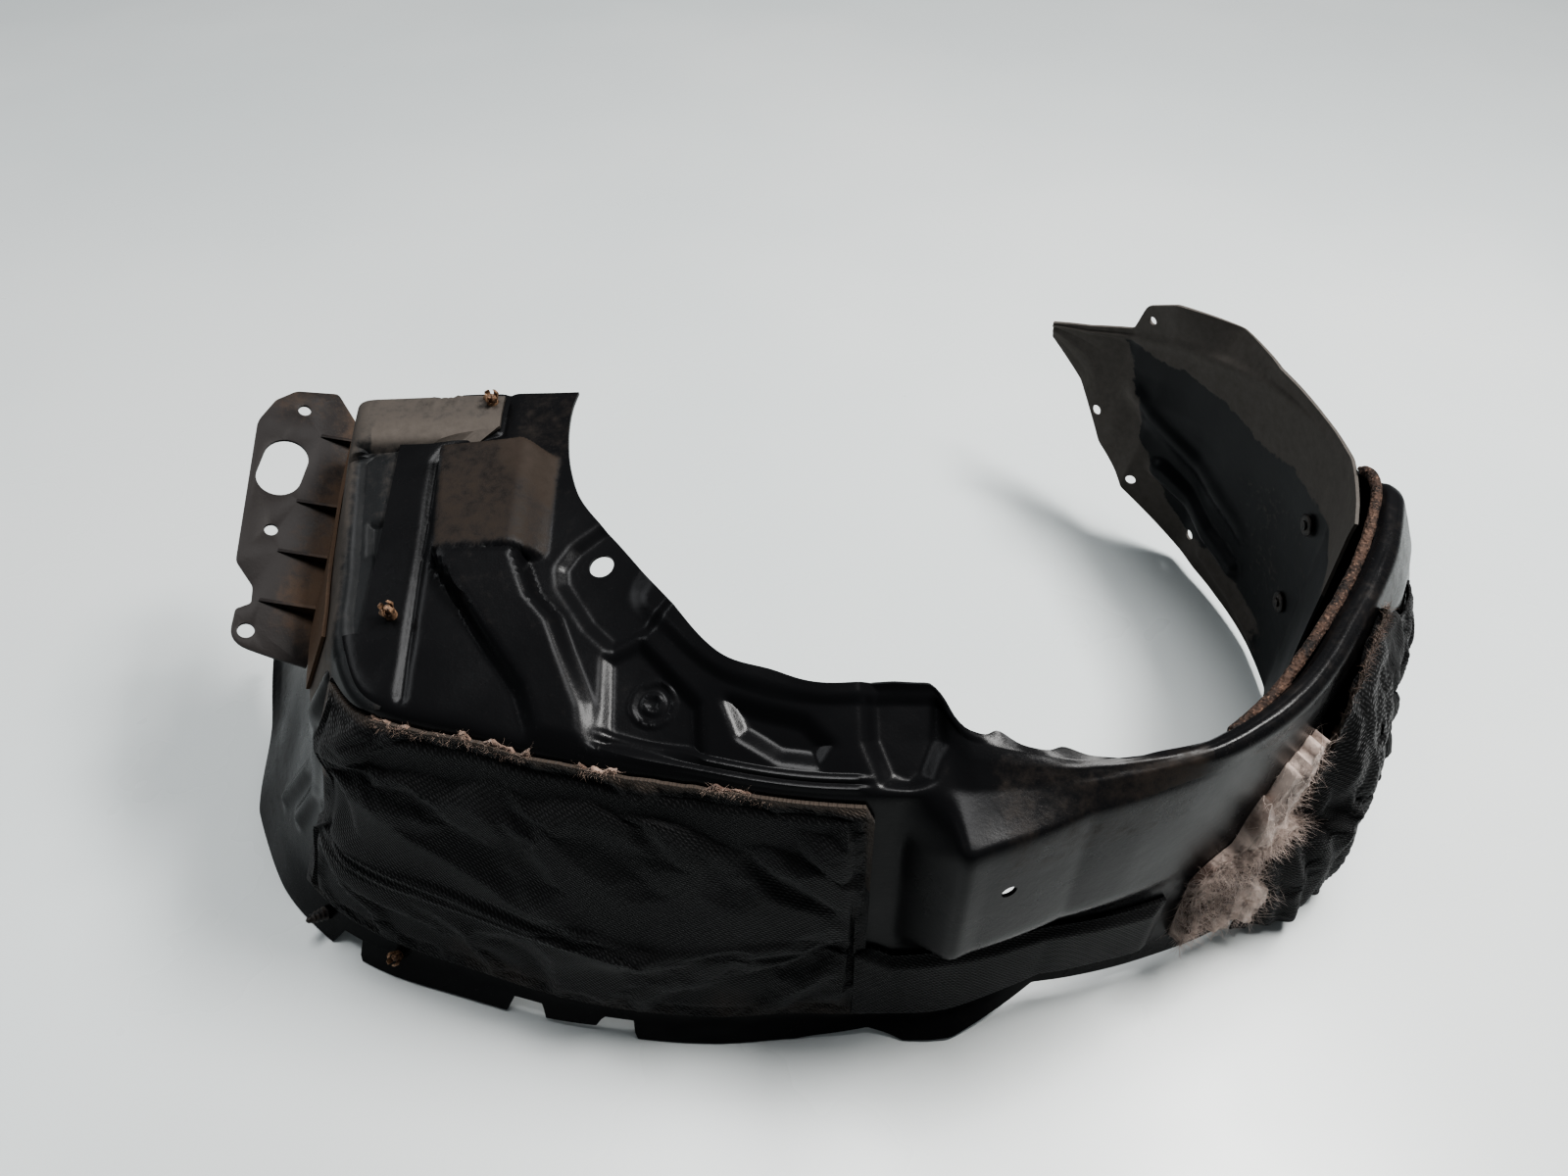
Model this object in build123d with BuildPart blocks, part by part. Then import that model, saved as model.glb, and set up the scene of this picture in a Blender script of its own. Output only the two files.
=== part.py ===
"""Inner wheel-arch liner of a car, lying on its outboard edge.

Millimetres, +Z up.  The side panel that faces the engine bay is on top, the arch wall
hangs down from it to the floor, and the wheel space opens towards +Y.  Every shell and
pad is a band: a thin closed section, repeated at stations around the arch axis and
joined by ruled faces.
"""
from build123d import *
from math import cos, hypot, radians, sin
import os

# ---- driving dimensions -------------------------------------------------------------
ARCH_AXIS = (18.4, 108.1)     # vertical axis of the wheel arch, seen from above
SHEET = 2.4                   # wall of the pressed polypropylene shells
GAP = 0.5                     # air between two layers that lie on each other
OVERLAP_DEPTH = 5.0           # from the arch shell to the far face of the rear shell
CORE = 5.4                    # glass-fibre batting under the front cloth
CLOTH = 1.6                   # woven cover with its backing
LEG_END = -73.0               # straight rear edge of the left leg, from the arch axis

RIVET_HOLE = 4.15             # radius of a rivet hole in the shells
RIVET_SHANK = 3.9
RIVET_HEAD = 9.0
RIVET_HEAD_THICK = 1.8
RIVET_LEGS = 8.0              # length of the legs beyond the sheets
LEG_START = 0.6               # plain shank beyond the last sheet
LEG_FLARE = 0.9               # the legs are that much wider than the shank
LEG_TAPER = 12
SAW_CUT = (1.2, 14.0)
SAW_START = 2.0
PIN_RADIUS = 2.1
PIN_CLEARANCE = 0.06
PIN_HEAD = 3.6
PIN_HEAD_THICK = 1.4
PIN_RECESS = 0.9              # the pin's head sits in the rivet's head by this much
PIN_RECESS_CLEARANCE = 0.3
PIN_FLOAT = 0.1               # air under the pin's head
PIN_SHORT = 1.0               # the pin ends before the legs do

CLIP_SHANK = 2.6
CLIP_LENGTH = 15.0
CLIP_FINS = 4
CLIP_FIN_RADIUS = 5.4
CLIP_FIN_STEP = 3.4
CLIP_FIN_SHRINK = 0.5
CLIP_FIN_THICK = 1.1
CLIP_FIN_TAPER = 25

SEAL_RADIUS = 4.0             # foam bead between the two shells
BRACKET_SHEET = 2.4
GUSSET = 2.2

# ---- the arch shell -----------------------------------------------------------------
# Each station: angle around the arch axis, then (radius, height) of inner edge, middle
# of the side panel, crease, upper wall, middle wall, lower wall, foot and lip.
ARCH = [
    (189, (173, 302), (255, 300), (339, 293), (360, 206), (412, 130), (427, 108), (466, 52), (478, 42)),
    (198, (186, 301), (265, 297), (347, 289), (375, 204), (419, 126), (432, 104), (470, 36), (482, 24)),
    (206, (203, 299), (280, 290), (360, 279), (395, 202), (431, 122), (442, 100), (481, 33), (505, 0)),
    (214, (219, 296), (300, 282), (381, 266), (420, 200), (444, 120), (452, 98), (487, 30), (505, 0)),
    (221, (233, 293), (321, 275), (408, 255), (438, 196), (455, 118), (460, 96), (480, 28), (497, 0)),
    (226, (242, 291), (331, 270), (418, 248), (432, 194), (447, 116), (452, 94), (468, 26), (486, 0)),
    (236, (253, 287), (325, 265), (393, 245), (404, 194), (421, 116), (426, 94), (440, 24), (456, 0)),
    (247, (275, 282), (327, 262), (377, 244), (388, 194), (403, 116), (407, 94), (421, 22), (435, 0)),
    (258, (307, 276), (339, 259), (368, 243), (376, 194), (389, 116), (392, 94), (404, 20), (418, 0)),
    (268, (316, 275), (344, 259), (370, 243), (374, 194), (381, 116), (383, 94), (392, 18), (405, 0)),
    (272, (315, 275), (344, 259), (371, 243), (375, 194), (382, 116), (384, 94), (392, 17), (406, 0)),
    (275, (315, 275), (344, 259), (372, 244), (376, 194), (383, 116), (385, 94), (392, 16), (407, 0)),
    (279, (318, 274), (346, 259), (373, 246), (414, 237), (417, 122), (389, 104), (396, 18), (413, 0)),
    (281, (347, 265), (362, 257), (377, 247), (411, 237), (413, 122), (389, 104), (396, 19), (413, 2)),
    (290, (375, 255), (382, 253), (389, 248), (402, 237), (405, 122), (391, 104), (393, 34), (397, 20)),
    (302, (397, 245), (401, 247), (405, 246), (408, 230), (411, 122), (410, 104), (411, 32), (416, 16)),
    (312, (402, 250), (406, 252), (411, 251), (415, 232), (419, 122), (420, 104), (427, 24), (433, 8)),
    (323, (397, 255), (402, 257), (408, 256), (417, 234), (430, 128), (433, 104), (443, 20), (450, 3)),
    (333, (399, 261), (404, 262), (410, 260), (428, 226), (441, 160), (445, 104), (455, 22), (462, 5)),
    (341, (399, 264), (403, 265), (409, 262), (430, 226), (448, 176), (452, 104), (457, 30), (460, 14)),
    (345, (387, 252), (388, 238), (389, 220), (390, 190), (392, 128), (394, 104), (395, 40), (397, 18)),
    (352, (374, 248), (375, 236), (376, 220), (377, 190), (380, 128), (382, 104), (384, 40), (386, 20)),
]

# The rear shell: inboard edge, ridge, four wall heights and outboard edge.
REAR = [
    (334, (386, 264), (385, 250), (386, 190), (387, 120), (386, 60), (388, 10)),
    (345, (382, 262), (383, 250), (387, 190), (389, 120), (391, 60), (394, 8)),
    (352, (370, 260), (369, 250), (374, 190), (377, 120), (380, 60), (383, 8)),
    (361, (349, 264), (352, 246), (357, 190), (361, 120), (365, 60), (366, 10)),
    (371, (343, 262), (333, 230), (336, 185), (340, 120), (344, 66), (347, 14)),
    (380, (313, 257), (321, 215), (320, 175), (314, 125), (306, 88), (301, 60)),
    (386, (311, 238), (314, 203), (313, 170), (309, 135), (305, 108), (302, 80)),
    (388, (313, 208), (314, 200), (311, 168), (308, 137), (305, 110), (302, 86)),
    (395, (298, 195), (299, 189), (301, 176), (300, 163), (301, 150), (302, 134)),
    (402, (289, 184), (290, 181), (291, 179), (291, 176), (292, 173), (293, 168)),
]

# Where each layer starts and ends along the arch section: 0 is the inner edge, 2 the
# crease, 3 the upper wall, 6 the foot and 7 the lip.
FRONT_BACK = [(189, 0.50, 2.97), (198, 0.58, 2.97), (206, 0.66, 2.97)]
FRONT_FORE = [(206, 1.27, 2.97), (214, 1.32, 2.97), (221, 1.39, 2.35), (226, 1.60, 2.25)]
FRONT_PAD = [(221, 2.45, 5.97), (226, 2.35, 5.97)]
FRONT_PAD += [(angle, 2.12, 5.97) for angle in (236, 247, 258, 268, 272)]
UNDER_BOX = [(angle, 5.15, 5.97) for angle in (272, 275, 279, 281, 290, 302)]
UPSTAND = [(189, 2.45, 2.93), (198, 2.45, 2.93), (206, 2.45, 2.93), (214, 2.45, 2.93)]

# The torn rear pad: start and end along the section, then its thickness or its distance
# from the shell, because its cover has come away.
REAR_CORE = [
    (302, 3.90, 5.90, 9.0),
    (312, 3.60, 5.96, 13.0),
    (323, 3.50, 5.96, 15.0),
    (333, 3.60, 5.96, 11.0),
    (337, 3.90, 5.90, 8.0),
]
REAR_CLOTH = [
    (309, 3.90, 5.98, 16.0),
    (314, 3.75, 5.98, 26.0),
    (319, 3.60, 5.98, 33.0),
    (326, 3.50, 5.98, 31.0),
    (333, 3.60, 5.98, 19.0),
    (337, 3.85, 5.90, 10.0),
]

# Foam bead: angle, radius and height of its centre.
SEAL = [(316, 393.4, 254.0), (323, 392.2, 257.0), (333, 394.2, 263.0), (341, 394.0, 267.0)]

# ---- front bracket, in its own tilted plane: x away from the wheel, y to the front ----
BRACKET_ORIGIN = (-362, -120, 219)        # from the arch axis
BRACKET_TILT = (0.45, -0.31, 1.0)
BRACKET_OUTLINE = [
    (-14, 104), (8, 111), (36, 106), (41, 85), (33, 78), (36, 65),
    (52, 50), (73, -62), (67, -84), (56, -97), (28, -106), (-14, -62),
]
BRACKET_HOLES = [((46, -83), 4.5), ((38, 20), 4.5), ((30, 98), 5.5)]
SLOT = ((46, -31), 47, 31)
GUSSET_PLACES = [-66, -8, 34, 74]
GUSSET_SPAN = 30              # how far a gusset reaches along the plate
GUSSET_ROOT = 14              # and how far inside the plate's edge it starts
GUSSET_RISE = 24
GUSSET_BITE = 0.5             # into the plate, so that the two are one moulding
BRACKET_KEEP_OFF = 20         # the bracket is cut back from this deep behind its upstand

# Cutting tools, large enough to pass right through.
LEG_CUT = (420, 120, 150, 180)            # width, length, height of its middle, reach
FLOOR_CUT = (1200, 20)
OPENING_CUT = (214, 110)                  # the opening starts above this height
OPENING = [(-262, -40), (-262, -88), (-298, -100), (-298, -262), (-440, -262), (-440, -40)]
PIN_BORE = 40


def section_plane(angle):
    """Vertical plane through the arch axis: local x is the radius, local y the height."""
    c, s = cos(radians(angle)), sin(radians(angle))
    return Plane(origin=(*ARCH_AXIS, 0), x_dir=(c, s, 0), z_dir=(s, -c, 0))


def from_axis(x, y):
    """A place seen from above, measured from the arch axis."""
    return (ARCH_AXIS[0] + x, ARCH_AXIS[1] + y)


def along(points, place):
    """Point at a fractional place along a section."""
    i = min(int(place), len(points) - 2)
    f = place - i
    (r0, z0), (r1, z1) = points[i], points[i + 1]
    return (r0 + f * (r1 - r0), z0 + f * (z1 - z0))


def section_at(stations, angle):
    """Section of a shell at any angle, straight between the stations beside it."""
    for (a0, *p0), (a1, *p1) in zip(stations, stations[1:]):
        if a0 <= angle <= a1:
            f = (angle - a0) / (a1 - a0)
            return [(r0 + f * (r1 - r0), z0 + f * (z1 - z0)) for (r0, z0), (r1, z1) in zip(p0, p1)]
    raise ValueError("angle outside the shell")


def stretch(points, start, end):
    """The part of a section between two places."""
    middle = [points[i] for i in range(len(points)) if start < i < end]
    return [along(points, start), *middle, along(points, end)]


def offset_line(points, distance):
    """A section moved outwards, away from the wheel, with mitred corners."""
    normals = []
    for (r0, z0), (r1, z1) in zip(points, points[1:]):
        length = hypot(r1 - r0, z1 - z0)
        normals.append(((z0 - z1) / length, (r1 - r0) / length))
    moved = []
    for i, (r, z) in enumerate(points):
        a = normals[max(i - 1, 0)]
        b = normals[min(i, len(normals) - 1)]
        share = distance / (1 + a[0] * b[0] + a[1] * b[1])
        moved.append((r + share * (a[0] + b[0]), z + share * (a[1] + b[1])))
    return moved


def band(cuts):
    """Closed sections of a layer: each cut is an angle, a section and two distances from it."""
    faces = []
    for angle, points, low, high in cuts:
        with BuildSketch(section_plane(angle)) as section:
            with BuildLine():
                Polyline(*offset_line(points, high), *offset_line(points, low)[::-1], close=True)
            make_face()
        faces.append(section.sketch)
    return faces


def shell(stations):
    """Sections of a whole pressed shell."""
    return band([(angle, points, -SHEET / 2, SHEET / 2) for angle, *points in stations])


def followed(angle, start, end):
    """Part of the arch shell's section at any angle."""
    return stretch(section_at(ARCH, angle), start, end)


def layer(rows, low, high):
    """Sections of a layer that follows the arch shell over part of its section."""
    return band([(a, followed(a, start, end), low, high) for a, start, end in rows])


def place_on(stations, angle, place):
    """Point on a shell's middle surface."""
    for (a0, *p0), (a1, *p1) in zip(stations, stations[1:]):
        if a0 <= angle <= a1:
            start = section_plane(a0).from_local_coords(along(p0, place))
            end = section_plane(a1).from_local_coords(along(p1, place))
            return start + (end - start) * ((angle - a0) / (a1 - a0))
    raise ValueError("angle outside the shell")


def surface_plane(stations, angle, place):
    """Plane on a shell with its z axis pointing away from the wheel."""
    centre = place_on(stations, angle, place)
    around = place_on(stations, angle + 0.5, place) - centre
    down = place_on(stations, angle, place + 0.05) - centre
    return Plane(origin=centre, x_dir=around, z_dir=down.cross(around))


def punch(plane, radius, reach=14.0):
    """Round hole through whatever lies near a plane."""
    with BuildSketch(plane) as hole:
        Circle(radius)
    extrude(hole.sketch, amount=reach, both=True, mode=Mode.SUBTRACT)


def trim_leg():
    """Straight rear edge of the left leg."""
    width, length, height, reach = LEG_CUT
    x, y = from_axis(-width * 0.7, LEG_END + length / 2)
    with BuildSketch(Plane((x, y, height))) as behind:
        Rectangle(width, length)
    extrude(behind.sketch, amount=reach, mode=Mode.SUBTRACT)


half = SHEET / 2
front_low = half + GAP
front_high = front_low + SHEET
core_low = half + GAP
cloth_low = core_low + CORE + GAP

# ---- fasteners: plane on the arch shell, lowest and highest sheet face they clamp ------
SEAM_1 = surface_plane(ARCH, 199.4, 0.82)
SEAM_2 = surface_plane(ARCH, 221.9, 1.60)
WALL_LOW = surface_plane(ARCH, 228.5, 6.42)
OVERLAP_TOP = surface_plane(ARCH, 348.5, 3.20)
OVERLAP_LOW = surface_plane(ARCH, 348.5, 5.20)
CLIP = surface_plane(ARCH, 220.7, 6.45)
RIVETS = [
    (SEAM_1, -half, front_high),
    (SEAM_2, -half, front_high),
    (WALL_LOW, -half, half),
    (OVERLAP_TOP, -half - OVERLAP_DEPTH, half),
    (OVERLAP_LOW, -half - OVERLAP_DEPTH, half),
]

# ---- fixing holes: plane and radius ---------------------------------------------------
BOSS_HOLE = (surface_plane(ARCH, 236.0, 0.24), 8.0)
BOX_HOLE = (surface_plane(ARCH, 283.3, 3.43), 5.0)
REAR_HOLES = [
    (surface_plane(REAR, 384.5, 0.42), 4.0),
    (surface_plane(REAR, 390.3, 4.45), 5.0),
    (surface_plane(REAR, 379.0, 4.55), 5.0),
    (surface_plane(REAR, 369.5, 4.50), 5.0),
]

with BuildPart() as main_liner:
    loft(shell(ARCH), ruled=True)
    trim_leg()
    # the lip stands flat on the floor
    with BuildSketch(Plane.XY.offset(-FLOOR_CUT[1])):
        Rectangle(FLOOR_CUT[0], FLOOR_CUT[0])
    extrude(amount=FLOOR_CUT[1], mode=Mode.SUBTRACT)
    # opening that the front shell closes
    with BuildSketch(Plane.XY.offset(OPENING_CUT[0])):
        with BuildLine():
            Polyline(*[from_axis(x, y) for x, y in OPENING], close=True)
        make_face()
    extrude(amount=OPENING_CUT[1], mode=Mode.SUBTRACT)
    for frame, radius in (BOSS_HOLE, BOX_HOLE):
        punch(frame, radius)
    for frame, low, high in RIVETS:
        punch(frame, RIVET_HOLE)
    punch(CLIP, RIVET_HOLE)
main_liner.part.label = "main_liner"

with BuildPart() as front_section:
    loft(layer(FRONT_BACK, front_low, front_high), ruled=True)
    loft(layer(FRONT_FORE, front_low, front_high), ruled=True)
    trim_leg()
    punch(SEAM_1, RIVET_HOLE)
    punch(SEAM_2, RIVET_HOLE)
front_section.part.label = "front_section"

with BuildPart() as rear_section:
    loft(shell(REAR), ruled=True)
    for frame, radius in REAR_HOLES:
        punch(frame, radius)
    punch(OVERLAP_TOP, RIVET_HOLE)
    punch(OVERLAP_LOW, RIVET_HOLE)
rear_section.part.label = "rear_section"

# ---- ribbed bracket on the left leg -----------------------------------------------------
bracket_plane = Plane(
    origin=(*from_axis(*BRACKET_ORIGIN[:2]), BRACKET_ORIGIN[2]),
    x_dir=(-1, 0, BRACKET_TILT[0]),
    z_dir=BRACKET_TILT,
)
bracket_low = front_high + GAP
bracket_high = bracket_low + BRACKET_SHEET

with BuildPart() as front_bracket:
    with BuildSketch(bracket_plane):
        with BuildLine():
            Polyline(*BRACKET_OUTLINE, close=True)
        make_face()
        for centre, radius in BRACKET_HOLES:
            with Locations(centre):
                Circle(radius, mode=Mode.SUBTRACT)
        with Locations(SLOT[0]):
            SlotOverall(SLOT[1], SLOT[2], rotation=90, mode=Mode.SUBTRACT)
    extrude(amount=BRACKET_SHEET)
    for place in GUSSET_PLACES:
        gusset_plane = Plane(
            origin=bracket_plane.from_local_coords((0, place, BRACKET_SHEET)),
            x_dir=bracket_plane.x_dir,
            z_dir=bracket_plane.y_dir,
        )
        with BuildSketch(gusset_plane):
            with BuildLine():
                Polyline(
                    (-GUSSET_ROOT, GUSSET_BITE),
                    (GUSSET_SPAN, GUSSET_BITE),
                    (-GUSSET_ROOT, -GUSSET_RISE),
                    close=True,
                )
            make_face()
        extrude(amount=GUSSET / 2, both=True)
    loft(layer(UPSTAND, bracket_low, bracket_high), ruled=True)
    # keep clear of the shells behind it
    behind = [(angle, 1.4, 3.9) for angle in (189, 198, 206, 214)]
    loft(layer(behind, -BRACKET_KEEP_OFF, bracket_low), ruled=True, mode=Mode.SUBTRACT)
front_bracket.part.label = "front_bracket"

# ---- pads on the arch wall ----------------------------------------------------------------
with BuildPart() as front_pad_core:
    loft(layer(FRONT_PAD, core_low, core_low + CORE), ruled=True)
    loft(layer(UNDER_BOX, core_low, core_low + CORE), ruled=True)
front_pad_core.part.label = "front_pad_core"

with BuildPart() as front_pad_cover:
    loft(layer(FRONT_PAD, cloth_low, cloth_low + CLOTH), ruled=True)
    loft(layer(UNDER_BOX, cloth_low, cloth_low + CLOTH), ruled=True)
front_pad_cover.part.label = "front_pad_cover"

with BuildPart() as rear_pad_core:
    cuts = [(a, followed(a, start, end), core_low, high) for a, start, end, high in REAR_CORE]
    loft(band(cuts), ruled=True)
rear_pad_core.part.label = "rear_pad_core"

with BuildPart() as rear_pad_cover:
    cuts = [(a, followed(a, start, end), low, low + CLOTH) for a, start, end, low in REAR_CLOTH]
    loft(band(cuts), ruled=True)
rear_pad_cover.part.label = "rear_pad_cover"

# ---- foam bead on the inboard edge ----------------------------------------------------------
with BuildPart() as inboard_seal:
    rings = []
    for angle, radius, height in SEAL:
        with BuildSketch(section_plane(angle)) as ring:
            with Locations((radius, height)):
                RegularPolygon(SEAL_RADIUS, 8)
        rings.append(ring.sketch)
    loft(rings, ruled=True)
inboard_seal.part.label = "inboard_seal"

pieces = [main_liner, front_section, rear_section, front_bracket]
pieces += [front_pad_core, front_pad_cover, rear_pad_core, rear_pad_cover, inboard_seal]

# ---- push rivets: an expanding body and the pin that locks it ----------------------------------
for number, (frame, low, high) in enumerate(RIVETS, start=1):
    seat = low - GAP
    head = seat - RIVET_HEAD_THICK
    legs = high + LEG_START
    with BuildPart() as rivet_body:
        with BuildSketch(frame.offset(head)):
            Circle(RIVET_HEAD)
        extrude(amount=RIVET_HEAD_THICK)
        with BuildSketch(frame.offset(seat)):
            Circle(RIVET_SHANK)
        extrude(amount=legs - seat)
        # legs, barbed beyond the sheets
        with BuildSketch(frame.offset(legs)):
            Circle(RIVET_SHANK + LEG_FLARE)
        extrude(amount=RIVET_LEGS, taper=LEG_TAPER)
        with BuildSketch(frame.offset(head)):
            Circle(PIN_RADIUS + PIN_CLEARANCE)
        extrude(amount=PIN_BORE, mode=Mode.SUBTRACT)
        with BuildSketch(frame.offset(head)):
            Circle(PIN_HEAD + PIN_RECESS_CLEARANCE)
        extrude(amount=PIN_RECESS, mode=Mode.SUBTRACT)
        # two saw cuts part the legs
        with BuildSketch(frame.offset(high + SAW_START)):
            Rectangle(*SAW_CUT)
            Rectangle(*SAW_CUT[::-1])
        extrude(amount=RIVET_LEGS, mode=Mode.SUBTRACT)
    rivet_body.part.label = f"rivet_body_{number}"

    pin_seat = head + PIN_RECESS - PIN_FLOAT
    with BuildPart() as rivet_pin:
        with BuildSketch(frame.offset(pin_seat - PIN_HEAD_THICK)):
            Circle(PIN_HEAD)
        extrude(amount=PIN_HEAD_THICK)
        with BuildSketch(frame.offset(pin_seat)):
            Circle(PIN_RADIUS)
        extrude(amount=high - pin_seat + RIVET_LEGS - PIN_SHORT)
    rivet_pin.part.label = f"rivet_pin_{number}"
    pieces += [rivet_body, rivet_pin]

# ---- finned clip on the lip ------------------------------------------------------------------------
clip_seat = -half - 2 * GAP
with BuildPart() as finned_clip:
    with BuildSketch(CLIP.offset(clip_seat - RIVET_HEAD_THICK)):
        Circle(RIVET_HEAD)
    extrude(amount=RIVET_HEAD_THICK)
    with BuildSketch(CLIP.offset(clip_seat)):
        Circle(CLIP_SHANK)
    extrude(amount=CLIP_LENGTH - clip_seat)
    for step in range(CLIP_FINS):
        with BuildSketch(CLIP.offset(half + SAW_START + CLIP_FIN_STEP * step)):
            Circle(CLIP_FIN_RADIUS - CLIP_FIN_SHRINK * step)
        extrude(amount=CLIP_FIN_THICK, taper=CLIP_FIN_TAPER)
finned_clip.part.label = "finned_clip"
pieces.append(finned_clip)

os.makedirs("parts", exist_ok=True)
for piece in pieces:
    export_step(piece.part, f"parts/{piece.part.label}.step")

box = Compound(children=[piece.part for piece in pieces]).bounding_box()
print("whole part:", box)
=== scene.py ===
"""Looks of a used front wheel-arch liner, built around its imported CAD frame.

Shapes are worked out in millimetres and written in metres.  Every pressed shell is a
dense grid laid over stations around the vertical arch axis; pressed features are
stamped into the grid along its normals.
"""
import math

import bmesh
import bpy
import numpy as np
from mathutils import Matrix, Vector


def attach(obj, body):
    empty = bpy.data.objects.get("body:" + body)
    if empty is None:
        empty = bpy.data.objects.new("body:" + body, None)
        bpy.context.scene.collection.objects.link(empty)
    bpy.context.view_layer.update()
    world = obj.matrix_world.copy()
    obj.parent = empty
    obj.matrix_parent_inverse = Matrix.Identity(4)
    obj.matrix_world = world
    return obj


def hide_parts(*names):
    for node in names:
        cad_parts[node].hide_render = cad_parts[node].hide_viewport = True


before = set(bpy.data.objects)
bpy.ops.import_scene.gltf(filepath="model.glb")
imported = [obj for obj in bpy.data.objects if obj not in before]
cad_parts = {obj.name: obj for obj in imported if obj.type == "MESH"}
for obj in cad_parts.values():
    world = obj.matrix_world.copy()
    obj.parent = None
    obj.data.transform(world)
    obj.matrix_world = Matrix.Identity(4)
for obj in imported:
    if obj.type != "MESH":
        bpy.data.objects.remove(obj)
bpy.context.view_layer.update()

MM = 0.001
AXIS = np.array([18.4, 108.1])
SHEET = 2.4
HALF = SHEET / 2
GAP = 0.5                   # between two sheets
LEG_END = -73.0             # straight rear edge of the left leg, from the axis
TAU = 2 * math.pi
ARC = 7                     # about one degree along the arch wall, in mm
DROP = 42                   # about one place along a section, in mm
ARCH_FROM, ARCH_TO = 189, 352
LEG_RUN = 34                # degrees over which the leg's straight rear edge fades out
GRID_STEP = 0.25            # between a surface's columns, in degrees
LEG_COLUMNS = 120           # columns in which that edge is looked for
FLOOR_DROP = 0.0006         # keeps the floor's face clear of the lip
CAMERA_TILT = 46            # below the horizon, in degrees
RIVET_HOLE = 4.1            # radius
# angle and place of the rivets: two in the front seam, one in the lip, two in the rear seam
RIVET_AT = [(199.4, 0.82), (221.9, 1.60), (228.5, 6.42), (348.5, 3.20), (348.5, 5.20)]
CLIP_AT = (220.7, 6.45)

# angle, then (radius, height) of inner edge, panel middle, crease, upper, middle and
# lower wall, foot and lip
ARCH = [
    (189, (173, 302), (255, 300), (339, 293), (360, 206), (412, 130), (427, 108), (466, 52), (478, 42)),
    (198, (186, 301), (265, 297), (347, 289), (375, 204), (419, 126), (432, 104), (470, 36), (482, 24)),
    (206, (203, 299), (280, 290), (360, 279), (395, 202), (431, 122), (442, 100), (481, 33), (505, 0)),
    (214, (219, 296), (300, 282), (381, 266), (420, 200), (444, 120), (452, 98), (487, 30), (505, 0)),
    (221, (233, 293), (321, 275), (408, 255), (438, 196), (455, 118), (460, 96), (480, 28), (497, 0)),
    (226, (242, 291), (331, 270), (418, 248), (432, 194), (447, 116), (452, 94), (468, 26), (486, 0)),
    (236, (253, 287), (325, 265), (393, 245), (404, 194), (421, 116), (426, 94), (440, 24), (456, 0)),
    (247, (275, 282), (327, 262), (377, 244), (388, 194), (403, 116), (407, 94), (421, 22), (435, 0)),
    (258, (307, 276), (339, 259), (368, 243), (376, 194), (389, 116), (392, 94), (404, 20), (418, 0)),
    (268, (316, 275), (344, 259), (370, 243), (374, 194), (381, 116), (383, 94), (392, 18), (405, 0)),
    (272, (315, 275), (344, 259), (371, 243), (375, 194), (382, 116), (384, 94), (392, 17), (406, 0)),
    (275, (315, 275), (344, 259), (372, 244), (376, 194), (383, 116), (385, 94), (392, 16), (407, 0)),
    (279, (318, 274), (346, 259), (373, 246), (414, 237), (417, 122), (389, 104), (396, 18), (413, 0)),
    (281, (347, 265), (362, 257), (377, 247), (411, 237), (413, 122), (389, 104), (396, 19), (413, 2)),
    (290, (375, 255), (382, 253), (389, 248), (402, 237), (405, 122), (391, 104), (393, 34), (397, 20)),
    (302, (397, 245), (401, 247), (405, 246), (408, 230), (411, 122), (410, 104), (411, 32), (416, 16)),
    (312, (402, 250), (406, 252), (411, 251), (415, 232), (419, 122), (420, 104), (427, 24), (433, 8)),
    (323, (397, 255), (402, 257), (408, 256), (417, 234), (430, 128), (433, 104), (443, 20), (450, 3)),
    (333, (399, 261), (404, 262), (410, 260), (428, 226), (441, 160), (445, 104), (455, 22), (462, 5)),
    (341, (399, 264), (403, 265), (409, 262), (430, 226), (448, 176), (452, 104), (457, 30), (460, 14)),
    (345, (387, 252), (388, 238), (389, 220), (390, 190), (392, 128), (394, 104), (395, 40), (397, 18)),
    (352, (374, 248), (375, 236), (376, 220), (377, 190), (380, 128), (382, 104), (384, 40), (386, 20)),
]
REAR = [  # inboard edge, ridge, three wall heights, outboard edge
    (334, (386, 264), (385, 250), (386, 190), (387, 120), (386, 60), (388, 10)),
    (345, (382, 262), (383, 250), (387, 190), (389, 120), (391, 60), (394, 8)),
    (352, (370, 260), (369, 250), (374, 190), (377, 120), (380, 60), (383, 8)),
    (361, (349, 264), (352, 246), (357, 190), (361, 120), (365, 60), (366, 10)),
    (371, (343, 262), (333, 230), (336, 185), (340, 120), (344, 66), (347, 14)),
    (380, (313, 257), (321, 215), (320, 175), (314, 125), (306, 88), (301, 60)),
    (386, (311, 238), (314, 203), (313, 170), (309, 135), (305, 108), (302, 80)),
    (388, (313, 208), (314, 200), (311, 168), (308, 137), (305, 110), (302, 86)),
    (395, (298, 195), (299, 189), (301, 176), (300, 163), (301, 150), (302, 134)),
    (402, (289, 184), (290, 181), (291, 179), (291, 176), (292, 173), (293, 168)),
]


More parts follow.
